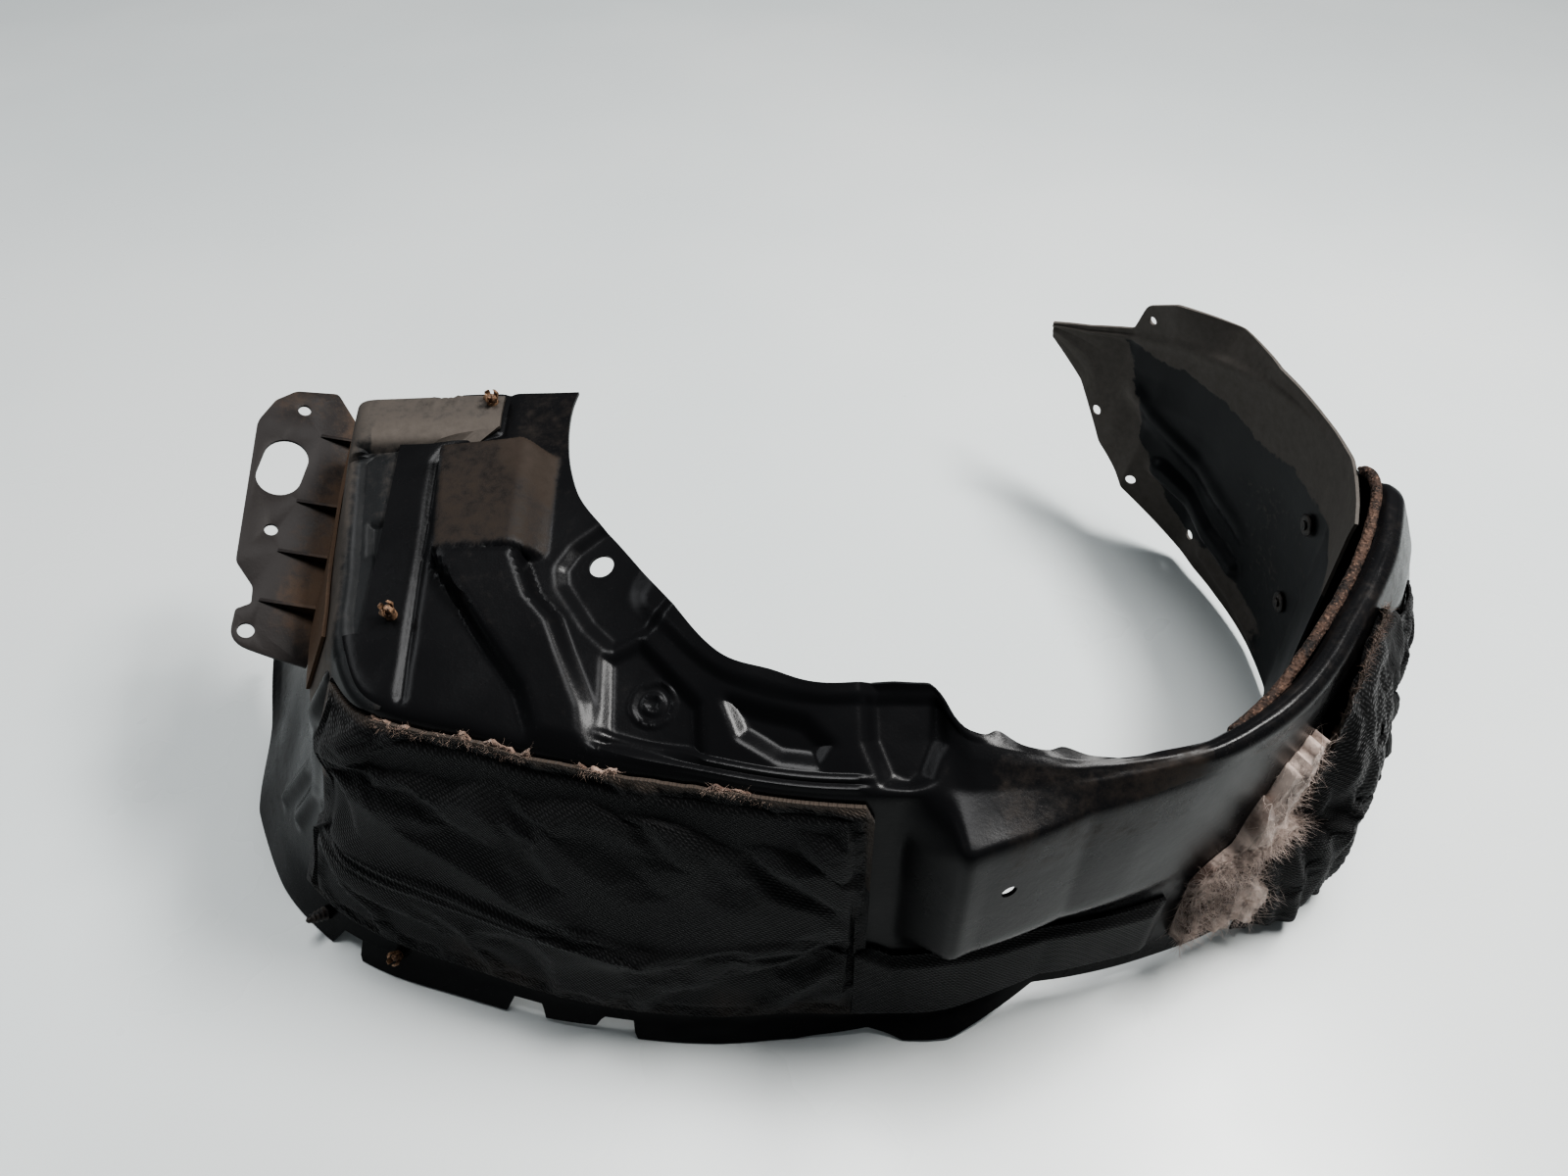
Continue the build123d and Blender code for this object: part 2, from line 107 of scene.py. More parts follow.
# ---- small numeric tools ----
def monotone(xs, ys, x):
    """Monotone cubic through the columns of ys at xs, sampled at x."""
    h = np.diff(xs)[:, None]
    slope = np.diff(ys, axis=0) / h
    tangent = np.zeros_like(ys)
    same = slope[1:] * slope[:-1] > 0
    w1 = 2 * h[1:] + h[:-1]
    w2 = h[1:] + 2 * h[:-1]
    safe0 = np.where(slope[:-1] == 0, 1, slope[:-1])
    safe1 = np.where(slope[1:] == 0, 1, slope[1:])
    mean = (w1 + w2) / (w1 / safe0 + w2 / safe1)
    tangent[1:-1] = np.where(same, mean, 0)
    tangent[0], tangent[-1] = slope[0], slope[-1]
    i = np.clip(np.searchsorted(xs, x) - 1, 0, len(xs) - 2)
    step = h[i]
    t = ((x - xs[i])[:, None]) / step
    a = ys[i] * (2 * t ** 3 - 3 * t ** 2 + 1) + ys[i + 1] * (3 * t ** 2 - 2 * t ** 3)
    b = tangent[i] * (t ** 3 - 2 * t ** 2 + t) + tangent[i + 1] * (t ** 3 - t ** 2)
    return a + b * step


def smoothed(rows, width):
    """Rows blurred along their first axis, with the two ends held."""
    if width < 0.3:
        return rows
    reach = int(3 * width) + 1
    kernel = np.exp(-0.5 * (np.arange(-reach, reach + 1) / width) ** 2)
    kernel /= kernel.sum()
    before = 2 * rows[:1] - rows[reach:0:-1]
    after = 2 * rows[-1:] - rows[-2:-reach - 2:-1]
    padded = np.concatenate([before, rows, after])
    out = sum(k * padded[i:i + len(rows)] for i, k in enumerate(kernel))
    return out


def ease(t):
    t = np.clip(t, 0, 1)
    return t * t * (3 - 2 * t)


def segment_distance(x, y, a, b):
    ax, ay = a
    dx, dy = b[0] - ax, b[1] - ay
    t = np.clip(((x - ax) * dx + (y - ay) * dy) / (dx * dx + dy * dy + 1e-12), 0, 1)
    return np.hypot(x - ax - t * dx, y - ay - t * dy)


def line_distance(x, y, points):
    """Distance to an open line of points."""
    return np.min([segment_distance(x, y, a, b) for a, b in zip(points, points[1:])], axis=0)


def scaled_distance(x, y, scale, points):
    """Distance to a line whose two coordinates each have their own scale."""
    u, v = scale
    return line_distance(x * u, y * v, [(a * u, b * v) for a, b in points])


def region(x, y, points):
    """Signed distance to a closed outline, negative inside."""
    inside = np.zeros(np.shape(x), bool)
    for (x0, y0), (x1, y1) in zip(points, points[1:] + points[:1]):
        crosses = (y0 > y) != (y1 > y)
        inside ^= crosses & (x < (x1 - x0) * (y - y0) / ((y1 - y0) or 1e-9) + x0)
    d = line_distance(x, y, points + points[:1])
    return np.where(inside, -d, d)


def ramp(distance, width):
    """1 inside a region, easing to 0 over a width centred on its edge."""
    return ease(0.5 - distance / width)


def value_noise(x, y, size, seed):
    """Smooth repeatable noise, about -1 to 1, with features of the given size."""
    table = np.random.RandomState(seed).rand(64, 64) * 2 - 1
    u, v = np.asarray(x) / size + 1000, np.asarray(y) / size + 1000
    i, j = np.floor(u).astype(int), np.floor(v).astype(int)
    fu, fv = ease(u - i), ease(v - j)
    a = table[i % 64, j % 64] * (1 - fu) + table[(i + 1) % 64, j % 64] * fu
    b = table[i % 64, (j + 1) % 64] * (1 - fu) + table[(i + 1) % 64, (j + 1) % 64] * fu
    return a * (1 - fv) + b * fv


def rough_noise(x, y, size, seed, octaves=4):
    total = 0
    for k in range(octaves):
        total = total + value_noise(x, y, size / 2 ** k, seed + k) / 1.8 ** k
    return total / 1.6


def mottle(angle, place, size, seed, octaves=4):
    """Rough noise over a shell, by angle and place."""
    return rough_noise(angle * ARC, place * DROP, size, seed, octaves)


def bell(distance, width):
    """1 at no distance, fading on both sides."""
    return np.exp(-(distance / width) ** 2)


def nearest(*distances):
    """Smallest of several distances that broadcast together."""
    least = distances[0]
    for distance in distances[1:]:
        least = np.minimum(least, distance)
    return least


def unit(vectors):
    return vectors / (np.linalg.norm(vectors, axis=-1, keepdims=True) + 1e-9)


def turn_of(x, y):
    """Angle around the arch axis, in degrees from 0 to 360."""
    return np.degrees(np.arctan2(y - AXIS[1], x - AXIS[0])) % 360


# ---- shells ----
class Surface:
    """A dense grid over a table of stations, read at any angle and place."""

    def __init__(self, table, step, counts, corner, folded=()):
        angles = np.array([row[0] for row in table], float)
        rows = np.array([np.ravel(row[1:]) for row in table], float)
        self.angles = np.arange(angles[0], angles[-1] + step / 2, step)
        fitted = monotone(angles, rows, self.angles)
        straight = np.stack([np.interp(self.angles, angles, column) for column in rows.T], -1)
        for low, high in folded:
            inside = (self.angles >= low) & (self.angles <= high)
            fitted = np.where(inside[:, None], straight, fitted)
        fitted = smoothed(fitted, 1.2)
        fitted = fitted.reshape(len(self.angles), -1, 2)
        places = [np.arange(n) / n + i for i, n in enumerate(counts)]
        self.places = np.append(np.concatenate(places), len(counts))
        i = np.minimum(self.places.astype(int), len(counts) - 1)
        f = (self.places - i)[None, :, None]
        section = fitted[:, i] * (1 - f) + fitted[:, i + 1] * f
        section = smoothed(section.transpose(1, 0, 2), corner).transpose(1, 0, 2)
        turn = np.radians(self.angles)[:, None]
        self.points = np.stack([
            AXIS[0] + section[..., 0] * np.cos(turn),
            AXIS[1] + section[..., 0] * np.sin(turn),
            section[..., 1],
        ], -1)
        self.find_normals()

    def find_normals(self):
        around = np.gradient(self.points, axis=0)
        down = np.gradient(self.points, axis=1)
        self.normals = unit(np.cross(down, around))

    def stamp(self, amount):
        """Moves the surface along its normals, in millimetres."""
        self.points = self.points + self.normals * amount[..., None]
        self.find_normals()

    def read(self, angle, place, field=None):
        field = self.points if field is None else field
        step = self.angles[1] - self.angles[0]
        i = np.clip((angle - self.angles[0]) / step, 0, len(self.angles) - 1.001)
        rows = np.arange(len(self.places))
        j = np.clip(np.interp(place, self.places, rows), 0, len(self.places) - 1.001)
        i0, j0 = i.astype(int), j.astype(int)
        fi, fj = (i - i0)[..., None], (j - j0)[..., None]
        top = field[i0, j0] * (1 - fi) + field[i0 + 1, j0] * fi
        low = field[i0, j0 + 1] * (1 - fi) + field[i0 + 1, j0 + 1] * fi
        return top * (1 - fj) + low * fj

    def layer(self, angle, place, height):
        """Points at a height over the surface."""
        normal = unit(self.read(angle, place, self.normals))
        return self.read(angle, place) + normal * np.asarray(height)[..., None]


ARCH_COUNTS = (34, 34, 34, 34, 10, 34, 12)
ARCH_FOLDED = ((275, 302), (323, 352))
REAR_COUNTS = (12, 24, 24, 20, 16)
REAR_FOLDED = ((334, 402),)
ARCH_CORNER, REAR_CORNER = 2.2, 0.9     # how far a section's corners are rounded, in rows
# base stays plain, main takes the pressed features
base = Surface(ARCH, GRID_STEP, ARCH_COUNTS, ARCH_CORNER, ARCH_FOLDED)
main = Surface(ARCH, GRID_STEP, ARCH_COUNTS, ARCH_CORNER, ARCH_FOLDED)
rear = Surface(REAR, GRID_STEP, REAR_COUNTS, REAR_CORNER, REAR_FOLDED)


def grid_faces(n, m, offset=0, flip=False):
    i, j = np.meshgrid(np.arange(n - 1), np.arange(m - 1), indexing="ij")
    a = (i * m + j).ravel() + offset
    quads = np.stack([a, a + 1, a + m + 1, a + m], -1)
    return quads[:, ::-1] if flip else quads


def closed_sheet(top, bottom):
    """Vertices and faces of a solid between two grids of points."""
    n, m = top.shape[:2]
    size = n * m
    faces = [grid_faces(n, m), grid_faces(n, m, size, True)]
    k = np.arange(size).reshape(n, m)
    for edge in (k[0], k[-1][::-1], k[:, 0][::-1], k[:, -1]):
        a, b = edge[:-1], edge[1:]
        faces.append(np.stack([b, a, a + size, b + size], -1)[:, ::-1])
    return np.concatenate([top.reshape(-1, 3), bottom.reshape(-1, 3)]), np.concatenate(faces)


def make(name, verts, faces, slot, body="liner", stands_for=(), sharp=38):
    mesh = bpy.data.meshes.new(name)
    verts = np.asarray(verts, float) * MM
    mesh.from_pydata(verts.tolist(), [], [list(map(int, f)) for f in faces])
    mesh.validate()
    mesh.update()
    piece = bpy.data.objects.new(name, mesh)
    bpy.context.scene.collection.objects.link(piece)
    finish_piece(piece, body, stands_for, sharp)
    return piece


def make_sheet(name, top, bottom, slot, **more):
    """Piece between two grids of points."""
    return make(name, *closed_sheet(top, bottom), slot, **more)


def both_sides(grid):
    """Values of a grid for the two faces of its sheet."""
    return np.concatenate([grid.ravel(), grid.ravel()])


def ring_faces(rings, count, offset=0):
    """Faces of a tube of equal rings of vertices, with its two ends last."""
    faces = []
    for i in range(rings - 1):
        for q in range(count):
            a, b = offset + i * count + q, offset + i * count + (q + 1) % count
            faces.append((a, b, b + count, a + count))
    faces.append(tuple(range(offset, offset + count))[::-1])
    last = offset + (rings - 1) * count
    faces.append(tuple(range(last, last + count)))
    return faces


def finish_piece(piece, body, stands_for, sharp):
    b = bmesh.new()
    b.from_mesh(piece.data)
    bmesh.ops.recalc_face_normals(b, faces=b.faces)
    b.to_mesh(piece.data)
    b.free()
    shade(piece, sharp)
    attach(piece, body)
    if stands_for:
        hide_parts(*stands_for)


def shade(piece, sharp):
    piece.data.polygons.foreach_set("use_smooth", [True] * len(piece.data.polygons))
    piece.data.set_sharp_from_angle(angle=math.radians(sharp))
    piece.data.update()


def circle(radius, count=40):
    turns = [TAU * i / count for i in range(count)]
    return [(radius * math.cos(t), radius * math.sin(t)) for t in turns]


def slot_outline(length, width, count=20):
    run = (length - width) / 2
    r = width / 2
    arc = [math.pi * i / count for i in range(count + 1)]
    right = [(run + r * math.sin(t), -r * math.cos(t)) for t in arc]
    return right + [(-x, -y) for x, y in right]


def prism(b, outline, origin, x, y, z, low, high):
    """Closed prism in a bmesh, between two heights along z."""
    rings = [[b.verts.new((origin + x * u + y * v + z * h) * MM) for u, v in outline]
             for h in (low, high)]
    b.faces.new(rings[0][::-1])
    b.faces.new(rings[1])
    for i in range(len(outline)):
        j = (i + 1) % len(outline)
        b.faces.new((rings[0][i], rings[0][j], rings[1][j], rings[1][i]))


def solid_from(b, name):
    bmesh.ops.recalc_face_normals(b, faces=b.faces)
    mesh = bpy.data.meshes.new(name)
    b.to_mesh(mesh)
    b.free()
    piece = bpy.data.objects.new(name, mesh)
    bpy.context.scene.collection.objects.link(piece)
    return piece


def cut(piece, shapes):
    """Cuts prisms out of a piece: centre, direction, side, outline and reach of each."""
    b = bmesh.new()
    for centre, direction, side, outline, reach in shapes:
        z = Vector(direction).normalized()
        x = Vector(side)
        x = (x - z * x.dot(z)).normalized()
        prism(b, outline, Vector(centre), x, z.cross(x), z, -reach, reach)
    apply_boolean(piece, solid_from(b, "cutter"), "DIFFERENCE")


def apply_boolean(piece, tool, operation):
    modifier = piece.modifiers.new("cut", "BOOLEAN")
    modifier.solver = "MANIFOLD"
    modifier.operation = operation
    modifier.object = tool
    depsgraph = bpy.context.evaluated_depsgraph_get()
    result = bpy.data.meshes.new_from_object(piece.evaluated_get(depsgraph))
    piece.modifiers.remove(modifier)
    result.materials.clear()
    result.polygons.foreach_set("material_index", [0] * len(result.polygons))
    piece.data = result
    bpy.data.objects.remove(tool)


def frame_on(surface, angle, place):
    """Point, normal and direction around the arch on a surface."""
    a, s = np.array([float(angle)]), np.array([float(place)])
    here = surface.read(a, s)[0]
    ahead = surface.read(a + 0.5, s)[0]
    down = surface.read(a, s + 0.05)[0]
    normal = np.cross(down - here, ahead - here)
    return here, normal / np.linalg.norm(normal), (ahead - here) / np.linalg.norm(ahead - here)


def hole(surface, angle, place, outline, reach=16):
    point, normal, around = frame_on(surface, angle, place)
    return (tuple(point), tuple(normal), tuple(around), outline, reach)


def paint(piece, **masks):
    """Writes each mask, an array or one number, on every vertex."""
    attributes = piece.data.attributes
    for name, values in masks.items():
        values = np.broadcast_to(values, len(piece.data.vertices))
        attribute = attributes.get(name) or attributes.new(name, "FLOAT", "POINT")
        attribute.data.foreach_set("value", np.clip(values, 0, 1).astype(np.float32))


def coordinates(piece):
    co = np.zeros(len(piece.data.vertices) * 3, np.float32)
    piece.data.vertices.foreach_get("co", co)
    return co.reshape(-1, 3).astype(float) / MM


# ---- materials ----
class Graph:
    """Short hand for building a material's nodes."""

    def __init__(self, name):
        self.material = bpy.data.materials.new(name)
        self.material.use_nodes = True
        self.tree = self.material.node_tree
        self.tree.nodes.clear()
        self.out = self.tree.nodes.new("ShaderNodeOutputMaterial")
        self.shader = self.tree.nodes.new("ShaderNodeBsdfPrincipled")
        self.tree.links.new(self.shader.outputs[0], self.out.inputs[0])
        self.where = self.tree.nodes.new("ShaderNodeTexCoord").outputs["Object"]

    def node(self, kind, settings=None, inputs=None, output=0):
        made = self.tree.nodes.new("ShaderNode" + kind)
        for key, value in (settings or {}).items():
            setattr(made, key, value)
        for key, value in (inputs or {}).items():
            socket = made.inputs[key]
            if isinstance(value, bpy.types.NodeSocket):
                self.tree.links.new(value, socket)
            else:
                socket.default_value = value
        return made.outputs[output]

    def mask(self, name):
        return self.node("Attribute", {"attribute_name": name}, output=2)

    def stretched(self, scale, turn):
        return self.node("Mapping", None, {"Vector": self.where, "Scale": scale, "Rotation": turn})

    def noise(self, scale, detail, roughness, where=None):
        where = self.where if where is None else where
        inputs = {"Scale": scale, "Detail": detail, "Roughness": roughness, "Vector": where}
        return self.node("TexNoise", None, inputs)

    def cells(self, scale):
        return self.node("TexVoronoi", None, {"Scale": scale, "Vector": self.where})

    def span(self, value, low, high, to_low=0.0, to_high=1.0, smooth=True):
        kind = {"interpolation_type": "SMOOTHSTEP"} if smooth else None
        inputs = {"Value": value, "From Min": low, "From Max": high, "To Min": to_low, "To Max": to_high}
        return self.node("MapRange", kind, inputs)

    def math(self, operation, a, b):
        return self.node("Math", {"operation": operation}, {0: a, 1: b})

    def mix(self, share, a, b):
        return self.node("Mix", {"data_type": "RGBA"}, {0: share, 6: a, 7: b}, output=2)

    def bump(self, height, strength, distance, below=None):
        inputs = {"Height": height, "Strength": strength, "Distance": distance}
        if below is not None:
            inputs["Normal"] = below
        return self.node("Bump", None, inputs)

    def set(self, **inputs):
        for key, value in inputs.items():
            socket = self.shader.inputs[key.replace("_", " ")]
            if isinstance(value, bpy.types.NodeSocket):
                self.tree.links.new(value, socket)
            else:
                socket.default_value = value


def rgb(r, g, b):
    return (r, g, b, 1.0)


def darker(tone, share):
    return tuple(share * c for c in tone[:3]) + (1.0,)


def plastic(name, clean, dusty, gloss, dull=0.62, grain=0.35, blend=0.42):
    """Moulded plastic with patchy dust and pale scuffs, steered by two masks; on the front section the dust
    mask also holds a painted highlight.
    """
    g = Graph(name)
    broad = g.noise(9, 5, 0.6)
    fine = g.noise(140, 6, 0.65)
    speck = g.noise(620, 3, 0.7)
    dust = g.mask("dust")
    scuff = g.mask("scuff")
    patchy = g.math("ADD", g.math("MULTIPLY", broad, 0.45), g.math("MULTIPLY", fine, 0.55))
    level = g.math("SUBTRACT", g.math("ADD", patchy, dust), 0.66)
    dirt = g.span(level, 0.0, blend)
    specks = g.span(g.math("ADD", speck, g.math("MULTIPLY", dust, 0.16)), 0.63, 0.72, 0.0, 0.8)
    dirt = g.math("MAXIMUM", dirt, g.math("MULTIPLY", specks, g.span(dust, 0.02, 0.5)))
    streaks = g.noise(130, 8, 0.8, g.stretched((4.0, 1.0, 1.6), (0.3, 0.2, 0.6)))
    streak_level = g.math("ADD", streaks, g.math("MULTIPLY", scuff, 0.34))
    worn = g.span(streak_level, 0.72, 0.86, 0.0, 0.22)
    worn = g.math("MULTIPLY", worn, g.span(scuff, 0.0, 0.25))
    dust_tone = g.mix(fine, dusty, darker(dusty, 0.55))
    colour = g.mix(dirt, clean, dust_tone)
    colour = g.mix(worn, colour, rgb(0.20, 0.195, 0.19))
    rough = g.span(broad, 0.3, 0.7, gloss - 0.05, gloss + 0.09, False)
    rough = g.math("ADD", rough, g.math("MULTIPLY", dirt, dull - gloss))
    rough = g.math("SUBTRACT", rough, g.math("MULTIPLY", worn, 0.3))
    pitted = g.math("ADD", g.math("MULTIPLY", fine, 0.6), g.math("MULTIPLY", speck, 0.25))
    pitted = g.math("ADD", pitted, g.math("MULTIPLY", dirt, 0.35))
    pitted = g.math("SUBTRACT", pitted, g.math("MULTIPLY", worn, 0.4))
    waves = g.bump(g.noise(24, 3, 0.5), 0.25, 0.0012)
    g.set(Base_Color=colour, Roughness=rough, Specular_IOR_Level=0.42, IOR=1.3,
          Normal=g.bump(pitted, grain, 0.0006, waves))
    return g.material


def woven(name, tone, pitch_mm, sheen):
    """Twill cloth: the yarns follow the piece's own measured coordinates."""
    g = Graph(name)
    cloth = g.node("UVMap", {"uv_map": "cloth"})
    yarns = []
    for way, turn, scale in (("X", 0.7, 314.0), ("Y", -0.35, 361.0)):
        along = g.node("Mapping", None, {"Vector": cloth, "Rotation": (0, 0, turn)})
        yarns.append(g.node("TexWave", {"wave_type": "BANDS", "bands_direction": way}, {
            "Vector": along, "Scale": scale / pitch_mm, "Distortion": 0.6, "Detail": 1.0,
            "Detail Scale": 3.0}))
    yarn = g.math("MULTIPLY", *yarns)
    broad = g.noise(14, 5, 0.6)
    lint = g.span(g.noise(330, 5, 0.75), 0.62, 0.76, 0.0, 0.5)
    dust = g.mask("dust")
    dirt = g.span(g.math("SUBTRACT", g.math("ADD", broad, dust), 0.72), 0.0, 0.4)
    colour = g.mix(g.span(yarn, 0.05, 0.6), darker(tone, 0.25), tone)
    colour = g.mix(g.math("MULTIPLY", lint, 0.35), colour, rgb(0.07, 0.066, 0.062))
    colour = g.mix(g.math("MULTIPLY", dirt, 0.6), colour, rgb(0.11, 0.085, 0.068))
    fuzz = g.bump(g.noise(700, 4, 0.7), 0.3, 0.0004)
    g.set(Base_Color=colour, Roughness=g.span(broad, 0.3, 0.7, 0.58, 0.72, False),
          Normal=g.bump(yarn, 0.75, 0.0009, fuzz), Specular_IOR_Level=0.30,
          Sheen_Weight=sheen, Sheen_Roughness=0.45)
    return g.material


def fibres(name, pale, dark):
    """Torn batting: matted pale fibres with dirt between them."""
    g = Graph(name)
    long_way = g.noise(160, 7, 0.75, g.stretched((1, 1, 0.25), (0.5, 0.3, 0)))
    broad = g.noise(38, 5, 0.65)
    dust = g.mask("dust")
    level = g.math("ADD", g.math("MULTIPLY", broad, 0.6), g.math("MULTIPLY", dust, 0.5))
    colour = g.mix(g.span(level, 0.42, 0.75), pale, dark)
    colour = g.mix(g.span(long_way, 0.5, 0.72, 0, 0.75), colour, darker(dark, 0.35))
    g.set(Base_Color=colour, Roughness=0.85, Sheen_Weight=0.35, Sheen_Roughness=0.6,
          Normal=g.bump(long_way, 0.9, 0.0015))
    return g.material


def foam(name):
    """Brown foam bead, its open cells flecked with grit."""
    g = Graph(name)
    cells = g.cells(420)
    broad = g.noise(70, 5, 0.7)
    grit = g.span(g.noise(480, 3, 0.7), 0.56, 0.66)
    colour = g.mix(g.span(broad, 0.35, 0.65), rgb(0.012, 0.009, 0.008), rgb(0.085, 0.05, 0.036))
    colour = g.mix(grit, colour, rgb(0.17, 0.105, 0.075))
    g.set(Base_Color=colour, Roughness=0.82, Normal=g.bump(g.math("ADD", cells, broad), 0.9, 0.0016))
    return g.material


def nylon(name, tone, dirty):
    g = Graph(name)
    broad = g.noise(240, 5, 0.7)
    fine = g.noise(900, 3, 0.6)
    colour = g.mix(g.span(broad, 0.4, 0.62), tone, dirty)
    g.set(Base_Color=colour, Roughness=g.span(fine, 0.3, 0.7, 0.42, 0.62, False),
          Normal=g.bump(g.math("ADD", broad, fine), 0.5, 0.0005))
    return g.material


LINER = plastic("liner_plastic", rgb(0.012, 0.012, 0.013), rgb(0.062, 0.048, 0.039), 0.25, grain=0.32)
FRONT = plastic("front_plastic", rgb(0.020, 0.021, 0.022), rgb(0.140, 0.122, 0.108), 0.36, grain=0.45)
REARP = plastic("rear_plastic", rgb(0.023, 0.024, 0.026), rgb(0.132, 0.120, 0.110), 0.38,
                grain=0.4, blend=0.14)
BRACKET = plastic("bracket_plastic", rgb(0.030, 0.026, 0.025), rgb(0.140, 0.094, 0.066), 0.42, grain=0.5)
CLOTH = woven("woven_cover", rgb(0.017, 0.0168, 0.0178), 2.0, 0.16)
BATTING = fibres("fibre_batting", rgb(0.46, 0.33, 0.26), rgb(0.10, 0.052, 0.034))
PALE = fibres("fibre_batting_pale", rgb(0.66, 0.54, 0.48), rgb(0.12, 0.075, 0.058))
FOAM = foam("seal_foam")
BEIGE = nylon("fastener_beige", rgb(0.36, 0.23, 0.15), rgb(0.10, 0.06, 0.04))
BLACK = nylon("fastener_black", rgb(0.012, 0.012, 0.013), rgb(0.045, 0.036, 0.03))


# ---- the arch shell ----
X, Y, Z = main.points[..., 0], main.points[..., 1], main.points[..., 2]
ANGLE = np.broadcast_to(main.angles[:, None], X.shape)
PLACE = np.broadcast_to(main.places[None, :], X.shape)
panel = ramp(PLACE - 2.0, 0.25)       # the side panel only

# raised box on the left leg, and the ridge that runs down from it
PLATEAU = [(-247, -21), (-190, -18), (-168, -30), (-166, -108), (-238, -108)]
SPUR = [(-238, -104), (-185, -106), (-172, -137), (-157, -154), (-148, -176), (-134, -208), (-130, -233),
        (-163, -224), (-173, -197), (-203, -157), (-232, -115)]
plateau = ramp(region(X, Y, PLATEAU), 6) * ease((-165 - X) / 24)
along = np.clip((-110 - Y) / 122, 0, 1)
spur = ramp(region(X, Y, SPUR), 7 + 8 * along) * (1 - 0.72 * along)
raise_box = 15 * np.maximum(plateau, spur) * panel

# recess round the boss hole and the three-sided recess below it
BOSS = [(-134, -92), (-150, -104), (-158, -117), (-156, -129), (-137, -158), (-121, -174), (-100, -165),
        (-70, -130), (-100, -80)]
TRIANGLE = [(-124, -180), (-104, -172), (-68, -212), (-66, -238), (-122, -231)]
boss = -4.5 * ramp(region(X, Y, BOSS), 10) * panel
triangle = -5 * ramp(region(X, Y, TRIANGLE), 10) * panel
ring_at = np.hypot(X + 95, Y + 208)
ring = 1.6 * ramp(np.abs(ring_at - 12.5) - 0.8, 1.8) + 1.5 * ramp(np.abs(ring_at - 5) - 1.2, 2.0)
ring = ring * panel

# crescent pocket and the rounded pocket beside the box
CRESCENT = [(-50, -212), (-42, -230), (-20, -243), (1, -246), (8, -238), (-6, -226), (-28, -220)]
POCKET = [(30, -205), (31, -236), (40, -256), (54, -262), (64, -254), (72, -236), (74, -205)]
crescent = -6 * ramp(region(X, Y, CRESCENT), 12) * panel
pocket = -8 * ramp(region(X, Y, POCKET), 14) * ramp(PLACE - 1.9, 0.3)

# two beads along the crease, and a raised hem along the inner edge
bead_span = ramp(np.abs(ANGLE - 259) - 12.5, 2)
beads = sum(2.0 * bell(PLACE - p, 0.05) for p in (1.70, 1.88)) * bead_span
hem_span = ramp(np.abs(ANGLE - 262) - 19, 4)
hem = 3.0 * ramp(PLACE - 0.28, 0.25) * hem_span

# groove beside the seam of the front section
SEAM = [(-210, 36), (-210, -3), (-247, -15), (-252, -24), (-246, -198)]
seam_groove = -2.0 * bell(line_distance(X, Y, SEAM), 3.2) * panel

# tube-like rib along the inboard edge behind the box
tube_span = ease((ANGLE - 296) / 8) * ease((342 - ANGLE) / 3)
tube = 5.0 * bell(PLACE - 1.6, 1.3) * tube_span

# ribs on the wall of the front leg, and a soft unevenness everywhere
rib_a = scaled_distance(ANGLE, Z, (8, 1), [(221, 236), (215.5, 130), (210, 46)])
rib_b = scaled_distance(ANGLE, Z, (8, 1), [(220, 180), (217, 110), (214, 58)])
ribs = 4.5 * (bell(rib_a, 6) + bell(rib_b, 6)) * ramp(2.3 - PLACE, 0.3)
hollow = -5.0 * bell(ANGLE - 205, 4.5) * ramp(np.abs(PLACE - 4.2) - 1.5, 0.8)
wavy = 0.5 * mottle(ANGLE, PLACE, 60, 5, 3)

main.stamp(raise_box)
main.stamp(boss + triangle + crescent + pocket + hem)
main.stamp(ring + beads + seam_groove + tube + ribs + hollow + wavy)


def slanted(angles, start):
    """Angles of each row and place, leaning to the leg's straight rear edge."""
    fade = np.clip(1 - (angles - ARCH_FROM) / LEG_RUN, 0, 1)
    return angles[:, None] + (start[None, :] - ARCH_FROM) * fade[:, None]


def leg_start(surface, place):
    """Angle at which a line along the arch meets the straight rear edge of the leg."""
    columns = np.interp(place, surface.places, np.arange(len(surface.places)))
    out = np.zeros(len(place))
    for k, c in enumerate(columns):
        y = surface.points[:LEG_COLUMNS, int(round(c)), 1] - AXIS[1]
        out[k] = np.interp(-LEG_END, -y, surface.angles[:LEG_COLUMNS])
    return smoothed(out[:, None], 1.5)[:, 0]


# heights of the lip's edge around the arch: tabs that reach the floor between notches
LIP = [
    (189, 42), (198, 24), (204, 6), (206, 0), (222.4, 0), (222.9, 13), (225.0, 13), (225.4, 0),
    (239.2, 1), (239.5, 12), (242.2, 12), (242.8, 3), (247.4, 5), (247.9, 12), (250.7, 12), (251.2, 0),
    (266, 0), (273, 7), (275.6, 2), (276.4, 0), (281, 2), (290, 20), (302, 16), (312, 8), (323, 3),
    (333, 5), (341, 14), (345, 18), (352, 20),
]
# small peaks and notches of the inner edge: angle, width, height in millimetres
PEAKS = [(284.2, 1.0, 7.0), (289.6, 1.2, 6.0), (294.5, 2.0, -3.0), (262.0, 3.0, 3.0)]


